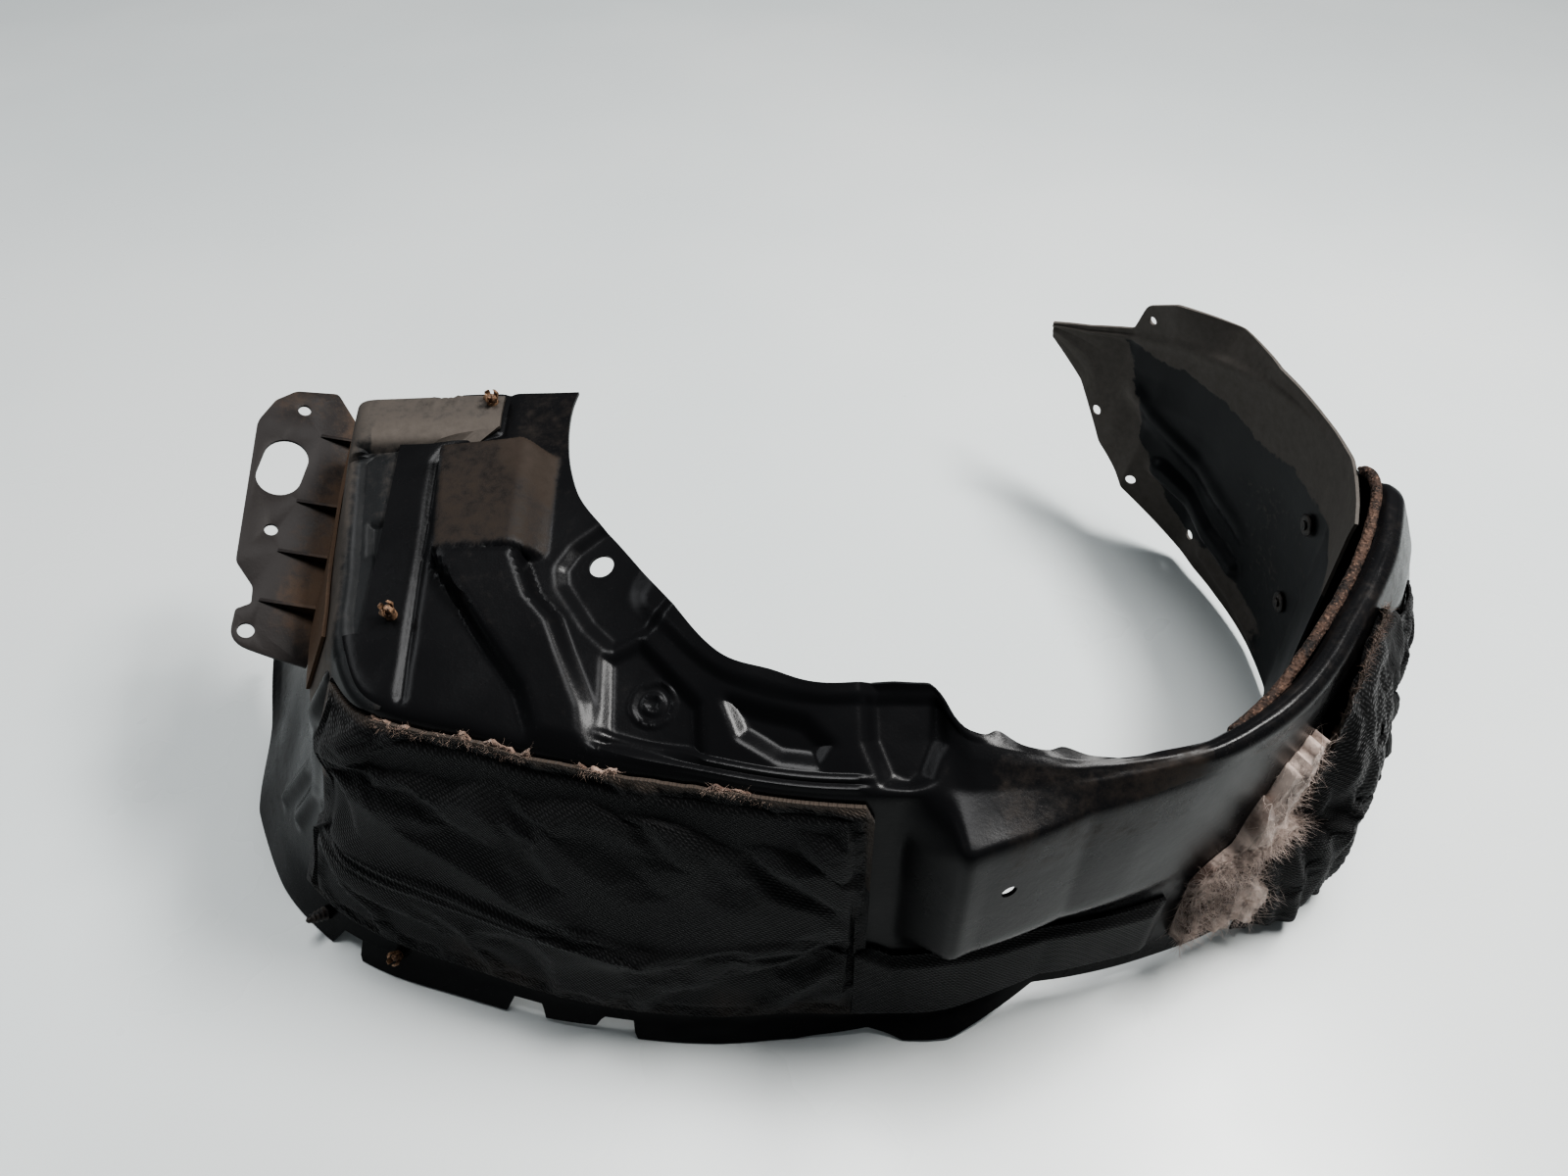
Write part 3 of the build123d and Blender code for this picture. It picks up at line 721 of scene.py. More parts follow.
def build_main():
    angles = np.arange(ARCH_FROM, ARCH_TO + 0.01, 0.33)
    angle = slanted(angles, leg_start(base, main.places))
    place = np.broadcast_to(main.places[None, :], angle.shape)
    foot = base.read(angle[:, -1], np.full(len(angles), 6.0))[:, 2]
    lip = base.read(angle[:, -1], np.full(len(angles), 7.0))[:, 2]
    edge = np.interp(angle[:, -1], *zip(*LIP))
    end = 6 + np.clip((foot - edge) / np.maximum(foot - lip, 1), 0.2, 1.0)
    place = np.where(place > 6, 6 + (place - 6) * (end[:, None] - 6), place)
    points = main.layer(angle, place, 0.0)
    normals = unit(main.read(angle, place, main.normals))
    # the peaks pull the first rows of the edge towards the axis
    for at, width, reach in PEAKS:
        pull = reach * bell(angle - at, width) * np.clip(1 - place / 0.35, 0, 1)
        points[..., :2] -= unit(points[..., :2] - AXIS) * pull[..., None]
    top = points + normals * HALF
    bottom = points - normals * HALF
    top[..., 2] = np.maximum(top[..., 2], 0.0)
    bottom[..., 2] = np.maximum(bottom[..., 2], 0.0)
    piece = make_sheet("arch_shell", top, bottom, "liner_plastic", stands_for=["main_liner"])
    opening = [(-262, -40), (-262, -88), (-298, -100), (-298, -262), (-440, -262), (-440, -40)]
    shapes = [((AXIS[0], AXIS[1], 269), (0, 0, 1), (1, 0, 0), opening, 55)]
    shapes.append(hole(main, 236.0, 0.24, circle(8), 12))
    shapes.append(hole(main, 283.3, 3.43, circle(5), 12))
    for angle_at, place_at in RIVET_AT + [CLIP_AT]:
        shapes.append(hole(base, angle_at, place_at, circle(RIVET_HOLE, 24), 9))
    cut(piece, shapes)
    shade(piece, 38)
    piece.data.materials.append(LINER)
    x, y, z = coordinates(piece).T
    turn = turn_of(x, y)
    up = z > 235
    field = ramp(region(x, y, PLATEAU), 6)
    leg = ramp(region(x, y, [(-205, 40), (-203, -40), (-170, -70), (-140, 40)]), 20)
    boxtop = ramp(region(x, y, [(95, -240), (105, -300), (230, -262), (225, -236), (150, -250)]), 14)
    dust = 0.36 * field * up + 0.24 * leg * up + 0.24 * boxtop * (z > 200)
    dust = dust + 0.20 * ramp(np.abs(turn - 318) - 22, 10) * (z > 236)
    dust = dust + 0.18 * (z < 60) * ramp(turn - 224, 8)
    dust = np.maximum(dust, 0.10)
    # worn along the two crests of the ridge and below the three-sided recess
    left = line_distance(x, y, [(-236, -106), (-200, -160), (-163, -222)])
    right = line_distance(x, y, [(-199, -100), (-165, -135), (-132, -200), (-128, -228)])
    below = line_distance(x, y, [(-131, -233), (-73, -246), (30, -260)])
    scuff = 0.45 * ((bell(left, 5) + 0.8 * bell(right, 13) + 0.7 * bell(below, 8)) * up)
    scuff = scuff + 0.35 * ramp(np.abs(turn - 318) - 20, 10) * (z > 240)
    paint(piece, dust=dust, scuff=scuff)


build_main()


# ---- the front section ----
front = Surface(ARCH, GRID_STEP, ARCH_COUNTS, ARCH_CORNER)
FX, FY = front.points[..., 0], front.points[..., 1]
FA = np.broadcast_to(front.angles[:, None], FX.shape)
FP = np.broadcast_to(front.places[None, :], FX.shape)
FIELD = [(-309, -8), (-205, -8), (-205, -260), (-290, -260), (-298, -168), (-297, -134), (-303, -79)]
DPOCKET = [(-292, -70), (-273, -67), (-270, -108), (-274, -108), (-288, -94)]
SQUARE = [(-262, 20), (-246, 20), (-245, 33), (-261, 33)]
sunk = -7.0 * ramp(region(FX, FY, FIELD), 8)
dpocket = -2.6 * ramp(region(FX, FY, DPOCKET), 5)
fold = 1.1 * bell(line_distance(FX, FY, [(-281, -20), (-279, -50), (-263, -126), (-254, -200)]), 7)
square = 0.9 * ramp(np.abs(region(FX, FY, SQUARE)) - 0.7, 1.4)
panel_only = ramp(FP - 2.02, 0.2)
front.stamp((sunk + fold) * panel_only)
front.stamp((dpocket + square) * panel_only + 0.4 * mottle(FA, FP, 40, 9, 3))


def seam_radius(angle):
    """Distance of the seam from the axis, seen from above."""
    return np.interp(angle, [189, 197.8, 204.9, 205.3, 206, 217, 229], [215, 242, 254, 291, 301, 346, 403])


def place_of_radius(angle, radius):
    """Place along the section where the shell has that radius, on the side panel."""
    places = np.linspace(0, 2, 60)
    a = np.repeat(angle[:, None], len(places), 1)
    p = base.read(a, np.broadcast_to(places, a.shape))
    r = np.hypot(p[..., 0] - AXIS[0], p[..., 1] - AXIS[1])
    return np.array([np.interp(q, row, places) for q, row in zip(radius, r)])


def seam_places(angle, last):
    """Where the front section starts along each section, just short of its other end."""
    return np.minimum(place_of_radius(angle, seam_radius(angle)), last - 0.05)


def between(first, last, t):
    return first[:, None] + (last - first)[:, None] * t[None, :]


def build_front():
    angles = np.unique(np.concatenate([np.arange(ARCH_FROM, 228.6, 0.3), [204.9, 205.3]]))
    last = np.interp(angles, [189, 219, 221.5, 228.6], [2.97, 2.97, 2.30, 2.06])
    t = np.linspace(0, 1, 110)
    # the rear edge of the leg is straight, so the rows lean and the seam is found again
    edge = between(seam_places(angles, last), last, t)[0]
    angle = slanted(angles, np.interp(edge, base.places, leg_start_table))
    place = between(seam_places(angle[:, 0], last), last, t)
    low = HALF + GAP
    piece = make_sheet("front_shell", front.layer(angle, place, low + SHEET), front.layer(angle, place, low),
                       "front_plastic", stands_for=["front_section"])
    shapes = [hole(base, a, p, circle(RIVET_HOLE, 24), 14) for a, p in RIVET_AT[:2]]
    shapes.append(((-261, -84, 276), (0, 0, 1), (0.2, 1, 0), slot_outline(13, 4.4), 25))
    cut(piece, shapes)
    shade(piece, 35)
    piece.data.materials.append(FRONT)
    x, y = coordinates(piece).T[:2]
    rim = ramp(-region(x, y, FIELD), 10)
    # dust on the slope above the sunk field, painted lighter there as a highlight where that slope faces the
    # light
    slope_dust_and_highlight = bell(y + 4, 9) * (x > -300)
    crease = line_distance(x, y, [(-281, -20), (-263, -126), (-254, -200)])
    # this dust mask holds the rim's dust, the slope's painted highlight and a lighter band along the soft
    # fold
    paint(piece, dust=0.14 + 0.34 * rim + 0.30 * slope_dust_and_highlight + 0.16 * bell(crease, 9),
          scuff=0.30 * bell(np.abs(region(x, y, FIELD)), 3))


leg_start_table = leg_start(base, base.places)
build_front()


# ---- the rear section ----
RA = np.broadcast_to(rear.angles[:, None], rear.points.shape[:2])
RP = np.broadcast_to(rear.places[None, :], rear.points.shape[:2])
RZ = rear.points[..., 2]


def rear_line(*points):
    """Distance over the rear wall to a line given by angle and height."""
    return scaled_distance(RA, RZ, (6, 1), list(points))


def build_rear():
    ridge = 2.2 * bell(RP - 1.0, 0.14) * ease((RA - 350) / 10)
    step = -4.0 * ramp(2.6 - RP, 0.5) * ease((RA - 366) / 6) * ease((388 - RA) / 6)
    rib = 5.0 * bell(rear_line((384, 150), (372, 120), (360, 96)), 9)
    wedge = 7.0 * ramp(rear_line((376, 92), (366, 62), (360, 54)) - 8, 9)
    lines = 3.0 * bell(rear_line((366, 34), (352, 20)), 5)
    uneven = 0.5 * rough_noise(RA * ARC, RP * 40, 55, 21, 3)
    rear.stamp(-(step + rib + wedge + lines + ridge) + uneven)
    angles = np.arange(334, 402.01, 0.35)
    angle = np.repeat(angles[:, None], len(rear.places), 1)
    place = np.broadcast_to(rear.places[None, :], angle.shape)
    top, bottom = rear.layer(angle, place, HALF), rear.layer(angle, place, -HALF)
    piece = make_sheet("rear_shell", top, bottom, "rear_plastic", stands_for=["rear_section"])
    plain = Surface(REAR, GRID_STEP, REAR_COUNTS, REAR_CORNER, REAR_FOLDED)
    places = ((384.5, 0.42, 4.0), (390.3, 4.45, 5.0), (379.0, 4.55, 5.0), (369.5, 4.50, 5.0))
    shapes = [hole(plain, a, p, circle(r, 32), 14) for a, p, r in places]
    shapes += [hole(base, a, p, circle(RIVET_HOLE, 24), 12) for a, p in RIVET_AT[3:]]
    cut(piece, shapes)
    shade(piece, 35)
    piece.data.materials.append(REARP)
    x, y, z = coordinates(piece).T
    turn = turn_of(x, y)
    turn = np.where(turn < 100, turn + 360, turn)
    ragged = 9 * rough_noise(turn * 6, z, 38, 31, 4)
    upper = ramp(-(z - (196 + ragged)), 9)
    edge = ramp(-((turn - 376) * 6 + (120 - z) * 0.7 + ragged * 1.6 - 26), 12)
    # height of the outboard edge
    low = np.interp(turn, [334, 345, 352, 361, 371, 380, 386, 395, 402],
                    [10, 8, 8, 10, 14, 60, 80, 134, 168])
    rim = ramp(z - low - 34 - ragged, 10)
    dust = 0.08 + 0.40 * np.maximum(np.maximum(upper, edge), 0.85 * rim * ramp(352 - turn, 8))
    paint(piece, dust=dust, scuff=0.25 * ramp(z - low - 60, 20))


build_rear()


# ---- the ribbed bracket ----
BRACKET_ORIGIN = Vector((AXIS[0] - 362, AXIS[1] - 120, 219))
BRACKET_Z = Vector((0.45, -0.31, 1.0)).normalized()
BRACKET_X = Vector((-1, 0, 0.45)).normalized()
BRACKET_Y = BRACKET_Z.cross(BRACKET_X)
GUSSETS = (-66, -8, 34, 74)       # along the bracket
BRACKET_HOLES = [((46, -83), 4.5), ((38, 20), 4.5), ((30, 98), 5.5)]
BRACKET_SLOT = (46, -31)
# corner, and how far its rounding reaches
BRACKET_OUTLINE = [
    ((-14, 113), 1), ((8, 112), 3), ((38, 109), 24), ((41, 85), 2), ((33, 78), 2), ((36, 65), 3),
    ((52, 50), 3), ((73, -62), 5), ((67, -84), 2), ((56, -97), 3), ((28, -106), 3), ((-14, -62), 1),
]


def rounded(outline, steps=6):
    """Outline with each corner replaced by a curve."""
    points = []
    for k, (corner, reach) in enumerate(outline):
        before = Vector(outline[k - 1][0])
        after = Vector(outline[(k + 1) % len(outline)][0])
        c = Vector(corner)
        a = c + (before - c).normalized() * min(reach, (before - c).length * 0.48)
        b = c + (after - c).normalized() * min(reach, (after - c).length * 0.48)
        for i in range(steps + 1):
            t = i / steps
            points.append(tuple(a * (1 - t) ** 2 + c * 2 * t * (1 - t) + b * t * t))
    return points


def build_bracket():
    b = bmesh.new()
    prism(b, rounded(BRACKET_OUTLINE), BRACKET_ORIGIN, BRACKET_X, BRACKET_Y, BRACKET_Z, 0, SHEET)
    piece = solid_from(b, "bracket_shell")
    for place in GUSSETS:
        b = bmesh.new()
        side = [(-13, SHEET - 0.4), (27, SHEET - 0.4), (29, SHEET + 0.6), (-13, SHEET + 13.5)]
        at = BRACKET_ORIGIN + BRACKET_Y * place
        prism(b, side, at, BRACKET_X, BRACKET_Z, BRACKET_Y, -1.2, 1.2)
        apply_boolean(piece, solid_from(b, "gusset"), "UNION")
    shapes = []
    for (u, v), r in BRACKET_HOLES:
        centre = BRACKET_ORIGIN + BRACKET_X * u + BRACKET_Y * v
        shapes.append((centre, BRACKET_Z, BRACKET_X, circle(r, 32), 12))
    u, v = BRACKET_SLOT
    centre = BRACKET_ORIGIN + BRACKET_X * u + BRACKET_Y * v
    shapes.append((centre, BRACKET_Z, BRACKET_Y, slot_outline(47, 30.5, 16), 12))
    cut(piece, shapes)
    bevel = piece.modifiers.new("edges", "BEVEL")
    bevel.width = 0.7 * MM
    bevel.segments = 2
    bevel.limit_method = "ANGLE"
    bevel.angle_limit = math.radians(50)
    fine = piece.modifiers.new("fine", "TRIANGULATE")
    fine.min_vertices = 5
    depsgraph = bpy.context.evaluated_depsgraph_get()
    baked = bpy.data.meshes.new_from_object(piece.evaluated_get(depsgraph))
    piece.modifiers.clear()
    piece.data = baked
    finish_piece(piece, "liner", ["front_bracket"], 35)
    piece.data.materials.append(BRACKET)
    local = coordinates(piece) - np.array(BRACKET_ORIGIN)
    u = local @ np.array(BRACKET_X)
    v = local @ np.array(BRACKET_Y)
    near = ramp(u - 14, 34)
    by_rib = np.min([np.abs(v - place) for place in GUSSETS], axis=0)
    dust = 0.05 + 0.42 * near * bell(by_rib, 12) + 0.10 * near + 0.2 * ramp(v + 70, 30)
    paint(piece, dust=dust, scuff=0.05)

    # the upstand that the gussets run into
    angles = np.arange(ARCH_FROM, 217.01, 0.5)
    start = np.interp(np.full(30, 2.6), base.places, leg_start_table)
    angle = slanted(angles, start)
    place = np.broadcast_to(np.linspace(2.35, 2.93, 30)[None, :], angle.shape)
    low = HALF + 2 * GAP + SHEET
    flange = make_sheet("bracket_flange", base.layer(angle, place, low + SHEET),
                        base.layer(angle, place, low), "bracket_plastic")
    flange.data.materials.append(BRACKET)
    paint(flange, dust=0.55, scuff=0.0)


build_bracket()


# ---- cloth and batting ----
def measured_uv(piece, u, v):
    """UV map in metres along the two directions of a grid, so that a weave keeps its size."""
    u, v = both_sides(u), both_sides(v)
    layer = piece.data.uv_layers.new(name="cloth")
    loops = np.zeros(len(piece.data.loops), np.int32)
    piece.data.loops.foreach_get("vertex_index", loops)
    uv = np.stack([u[loops], v[loops]], -1).astype(np.float32)
    layer.data.foreach_set("uv", uv.ravel())


def arc_lengths(points):
    """Distance along both directions of a grid of points, in metres."""
    du = np.linalg.norm(np.diff(points, axis=0), axis=-1).mean(1)
    dv = np.linalg.norm(np.diff(points, axis=1), axis=-1).mean(0)
    u = np.concatenate([[0], np.cumsum(du)]) * MM
    v = np.concatenate([[0], np.cumsum(dv)]) * MM
    return np.meshgrid(u, v, indexing="ij")


def normals_of(points):
    normal = np.cross(np.gradient(points, axis=1), np.gradient(points, axis=0))
    return normal / np.linalg.norm(normal, axis=-1, keepdims=True)


def settle_cloth(points, inward, outward, growth, frames, seed):
    """New points of a grid of cloth that is a little too large for its place and wrinkles."""
    n, m = points.shape[:2]
    flat = points.reshape(-1, 3)
    random = np.random.RandomState(seed)
    mesh = bpy.data.meshes.new("draft_cloth")
    mesh.from_pydata((flat * MM).tolist(), [], grid_faces(n, m).tolist())
    piece = bpy.data.objects.new("draft_cloth", mesh)
    bpy.context.scene.collection.objects.link(piece)
    shaken = (flat + random.normal(0, 0.05, flat.shape)) * MM
    mesh.vertices.foreach_set("co", shaken.astype(np.float32).ravel())
    pins = piece.vertex_groups.new(name="pins")
    edge = np.zeros((n, m), bool)
    edge[:2], edge[-2:], edge[:, :2], edge[:, -2:] = True, True, True, True
    pins.add(np.nonzero(edge.ravel())[0].tolist(), 1.0, "REPLACE")
    cloth = piece.modifiers.new("cloth", "CLOTH")
    s = cloth.settings
    s.vertex_group_mass = "pins"
    s.quality = 6
    s.mass = 0.3
    s.tension_stiffness = s.compression_stiffness = 18
    s.shear_stiffness = 6
    s.bending_stiffness = 0.35
    s.tension_damping = s.compression_damping = 15
    s.shrink_min = -growth
    s.effector_weights.gravity = 0
    scene = bpy.context.scene
    for f in range(1, frames + 1):
        scene.frame_set(f)
    done = piece.evaluated_get(bpy.context.evaluated_depsgraph_get())
    co = np.zeros(n * m * 3, np.float32)
    done.data.vertices.foreach_get("co", co)
    scene.frame_set(1)
    bpy.data.objects.remove(piece)
    moved = co.reshape(n, m, 3).astype(float) / MM
    normal = normals_of(points)
    shift = moved - points
    height = np.clip((shift * normal).sum(-1), -inward, outward)
    slide = shift - (shift * normal).sum(-1)[..., None] * normal
    length = np.linalg.norm(slide, axis=-1, keepdims=True)
    slide *= np.minimum(1, 4 / np.maximum(length, 1e-6))
    return points + slide + normal * height[..., None]


# angle and place of the upper edges of the two covers
PAD_START = [(221.0, 2.40), (224, 2.30), (229, 2.16), (236, 2.12), (247, 2.10), (258, 2.08), (268, 2.10),
             (271.6, 2.12), (273.4, 2.7)]
UNDER_START = [(271.8, 4.9), (275, 5.10), (281, 5.15), (290, 5.15), (302.0, 5.15)]
PAD_END = 6.02              # place of their lower edge
# long soft folds: angle and place of both ends, width and height in millimetres
FOLDS = [
    (222.5, 3.9, 250, 4.9, 9, 3.4), (224, 4.5, 251, 5.0, 8, 3.0), (229, 3.2, 246, 4.2, 12, 2.6),
    (252, 4.9, 268, 4.1, 11, 3.0), (252, 5.1, 270, 4.9, 9, 2.6), (236, 5.4, 251, 5.0, 8, 2.6),
    (240, 3.6, 252, 4.8, 8, 2.4), (222.4, 5.1, 240, 5.5, 8, 2.4), (255, 5.3, 271, 5.5, 8, 2.0),
]


def cover(name, angle, place, rest, cloth, dust, stands_for=()):
    """Padded cover between its cloth and the arch shell."""
    under = base.layer(angle, place, HALF + GAP * 0.6)
    piece = make_sheet(name, cloth, under, "woven_cover", stands_for=stands_for, sharp=60)
    measured_uv(piece, *arc_lengths(rest))
    piece.data.materials.append(CLOTH)
    paint(piece, dust=dust)


def build_front_pad():
    angles = np.arange(221.2, 272.6, 0.42)
    # ragged upper edge where the cloth has torn away from its weld
    ragged = 0.035 * mottle(angles, 0 * angles, 26, 3, 4)
    ragged = np.where((angles > 226) & (angles < 262), ragged, 0)
    first = np.interp(angles, *zip(*PAD_START)) + np.maximum(ragged, -0.03)
    t = np.linspace(0, 1, 118)
    place = between(first, np.full(len(angles), PAD_END), t)
    # the left edge leans with the wall's end
    lean = -3.6 * ease((place - 3.2) / 2.8) * np.clip(1 - (angles[:, None] - 221) / 30, 0, 1)
    angle = angles[:, None] + lean
    near_edge = nearest((angles[:, None] - angles[0]) * 7.3, (angles[-1] - angles[:, None]) * 7.0,
                        t[None, :] * 300, (1 - t[None, :]) * 300)
    crown = ease(near_edge / 16)
    thick = 2.6 + 5.2 * crown - 2.2 * bell(near_edge - 13, 2.6)
    thick = thick + 1.8 * mottle(angle, place, 90, 15, 2) * crown
    gather = 0
    for a0, z0, a1, z1, width, height in FOLDS:
        fold_line = scaled_distance(angle, place, (7.1, 43), [(a0, z0), (a1, z1)])
        gather = gather + height * bell(fold_line, width)
    thick = thick + gather * crown
    rest = base.layer(angle, place, HALF + GAP + np.maximum(thick, 2.0))
    cloth = settle_cloth(rest, 3.2, 5.0, 0.055, 24, 7)
    edge_dust = bell(near_edge, 7) * (t[None, :] < 0.3)
    low_dust = 0.25 * ease((t[None, :] - 0.8) / 0.2)
    cover("front_pad_cloth", angle, place, rest, cloth, both_sides(0.08 + 0.5 * edge_dust + low_dust),
          ["front_pad_cover", "front_pad_core"])


def build_under_pad():
    angles = np.arange(271.4, 302.3, 0.45)
    t = np.linspace(0, 1, 34)
    angle = np.repeat(angles[:, None], len(t), 1)
    place = between(np.interp(angles, *zip(*UNDER_START)), np.full(len(angles), PAD_END), t)
    near_edge = nearest((angles[-1] - angles[:, None]) * 7.0, t[None, :] * 90, (1 - t[None, :]) * 90)
    crown = ease(near_edge / 12)
    thick = 2.4 + 5.0 * crown + 1.2 * mottle(angle, place, 60, 19, 3) * crown
    rest = base.layer(angle, place, HALF + GAP + thick)
    cover("under_pad_cloth", angle, place, rest, rest, 0.12)


build_front_pad()
build_under_pad()


# ---- torn batting: a matted lump with loose strands over it ----
def strands(places, seed, length, thick, spread, curl):
    """Thin three-sided hairs, each from a point in a direction."""
    random = np.random.RandomState(seed)
    verts, faces = [], []
    steps = 5
    for point, direction in places:
        d = np.array(direction, float) + random.normal(0, spread, 3)
        d /= np.linalg.norm(d)
        side = np.cross(d, random.normal(0, 1, 3))
        side /= np.linalg.norm(side)
        up = np.cross(d, side)
        p = np.array(point, float)
        own = length * random.uniform(0.45, 1.25)
        r = thick * random.uniform(0.6, 1.3)
        bend = random.normal(0, curl, 3)
        start = len(verts)
        for k in range(steps):
            f = k / (steps - 1)
            radius = r * (1 - 0.75 * f)
            for q in range(3):
                turn = TAU * q / 3
                verts.append(p + radius * (math.cos(turn) * side + math.sin(turn) * up))
            d = d + bend / steps
            d /= np.linalg.norm(d)
            p = p + d * own / steps
        faces += ring_faces(steps, 3, start)
    return verts, faces


def make_hairs(name, starts, seed, length, thick, spread, curl, material, dust, floor=None):
    """Piece of loose hairs, kept above a height if one is given."""
    verts, faces = strands(starts, seed, length, thick, spread, curl)
    verts = np.array(verts)
    if floor is not None:
        verts[:, 2] = np.maximum(verts[:, 2], floor)
    hairs = make(name, verts, faces, "fibre_batting", sharp=180)
    hairs.data.materials.append(material)
    paint(hairs, dust=dust)


def tuft(name, angle, place, height, seed, material, count, length, stands_for=(), dark=0.3, lump=3.0,
         size=16, thick=0.32, reach=400):
    """Matted batting over a patch of the arch shell, with hairs along and over it."""
    rim = np.zeros(angle.shape, bool)
    rim[0], rim[-1], rim[:, 0], rim[:, -1] = True, True, True, True
    bumps = mottle(angle, place, size, seed, 5)
    top_height = np.where(rim, HALF + GAP + 0.6, HALF + GAP + np.maximum(height + lump * bumps, 1.0))
    top = base.layer(angle, place, top_height)
    shake = np.random.RandomState(seed).normal(0, 0.35, top.shape)
    top = top + shake * (~rim)[..., None]
    under = base.layer(angle, place, HALF + 0.2)
    piece = make_sheet(name, top, under, "fibre_batting", stands_for=stands_for, sharp=80)
    piece.data.materials.append(material)
    dirt = dark + 0.6 * mottle(angle, place, 24, seed + 40, 3)
    paint(piece, dust=both_sides(dirt))
    random = np.random.RandomState(seed + 1)
    rows = random.randint(0, int(np.searchsorted(angle[:, 0], reach)), count)
    columns = random.randint(0, angle.shape[1], count)
    normal = base.read(angle, place, base.normals)
    around = np.gradient(base.read(angle, place), axis=0)
    down = np.gradient(base.read(angle, place), axis=1)
    starts = []
    for i, j in zip(rows, columns):
        mix = 0.35 * normal[i, j] + random.normal(0, 0.8) * around[i, j] / 2
        mix = mix + random.normal(0, 0.6) * down[i, j]
        starts.append((top[i, j] - 0.3 * normal[i, j], mix / (np.linalg.norm(mix) + 1e-6)))
    make_hairs(name + "_strands", starts, seed + 2, length, thick, 0.35, 1.0, material, dark * 0.5)


def patch(a0, a1, start, end, step, rows, wobble, seed):
    """Angles and places of a ragged patch between two lines of angle and place."""
    angles = np.arange(a0, a1 + step / 2, step)
    low = np.interp(angles, *zip(*start)) + wobble * mottle(angles, 0 * angles, 9, seed, 4)
    noise = rough_noise(angles * ARC, 0 * angles + 50, 9, seed + 9, 4)
    high = np.interp(angles, *zip(*end)) + wobble * noise
    return np.repeat(angles[:, None], rows, 1), between(low, high, np.linspace(0, 1, rows))


def build_torn_edge():
    """Batting that shows where the front cover's upper weld has torn."""
    spans = [(227.5, 234.5, 0.02, 0.17, 1.3, 420), (235.0, 241.5, 0.03, 0.12, 1.0, 320),
             (246.0, 249.5, 0.01, 0.08, 0.8, 130), (257.0, 263.5, 0.01, 0.09, 0.9, 260)]
    for k, (a0, a1, up, down, height, count) in enumerate(spans):
        starts = [(a, float(np.interp(a, *zip(*PAD_START)))) for a in np.arange(a0 - 1, a1 + 1.1, 0.5)]
        low = [(a, p - up) for a, p in starts]
        high = [(a, p + down * 0.55) for a, p in starts]
        angle, place = patch(a0, a1, low, high, 0.15, 14, 0.07, 60 + k)
        tuft(f"torn_batting_{k + 1}", angle, place, height, 70 + 5 * k, BATTING, count, 6.5,
             dark=0.55, lump=2.2, size=7, thick=0.13)


build_torn_edge()


# ---- the torn rear pad ----
def build_rear_pad():
    low = [(304.5, 5.0), (307, 4.3), (309.5, 3.8), (312, 3.35), (316, 3.3), (318, 3.7), (331, 3.7)]
    high = [(304.5, 6.0), (331, 6.0)]
    angle, place = patch(304.5, 331.0, low, high, 0.3, 110, 0.12, 81)
    behind = np.interp(angle, [317, 323], [1, 0])
    height = 3.2 + behind * (4 + 5.0 * bell(angle - 313, 6))
    tuft("rear_batting", angle, place, height, 90, PALE, 5200, 17, ["rear_pad_core"], dark=0.62,
         lump=1.2 + 7.0 * behind, size=15, thick=0.17, reach=319)


# torn edge of the rear cover, its stand-off down the wall, and how that fades to the rear
TORN = [(311.6, 5.9), (313, 5.25), (315.6, 4.4), (316.6, 3.6), (317.4, 3.1), (319.5, 2.6), (325, 2.1),
        (327.5, 2.75), (331, 3.15), (338.4, 3.45)]
STAND = [(2.0, 4), (2.6, 6), (3.0, 12), (3.3, 26), (3.6, 35), (4.0, 39), (5.0, 39), (5.5, 36), (6.0, 29)]
STAND_FADE = [(311, 0.8), (315, 1.0), (320, 1.0), (324, 0.80), (328, 0.45), (332, 0.22), (338.5, 0.12)]


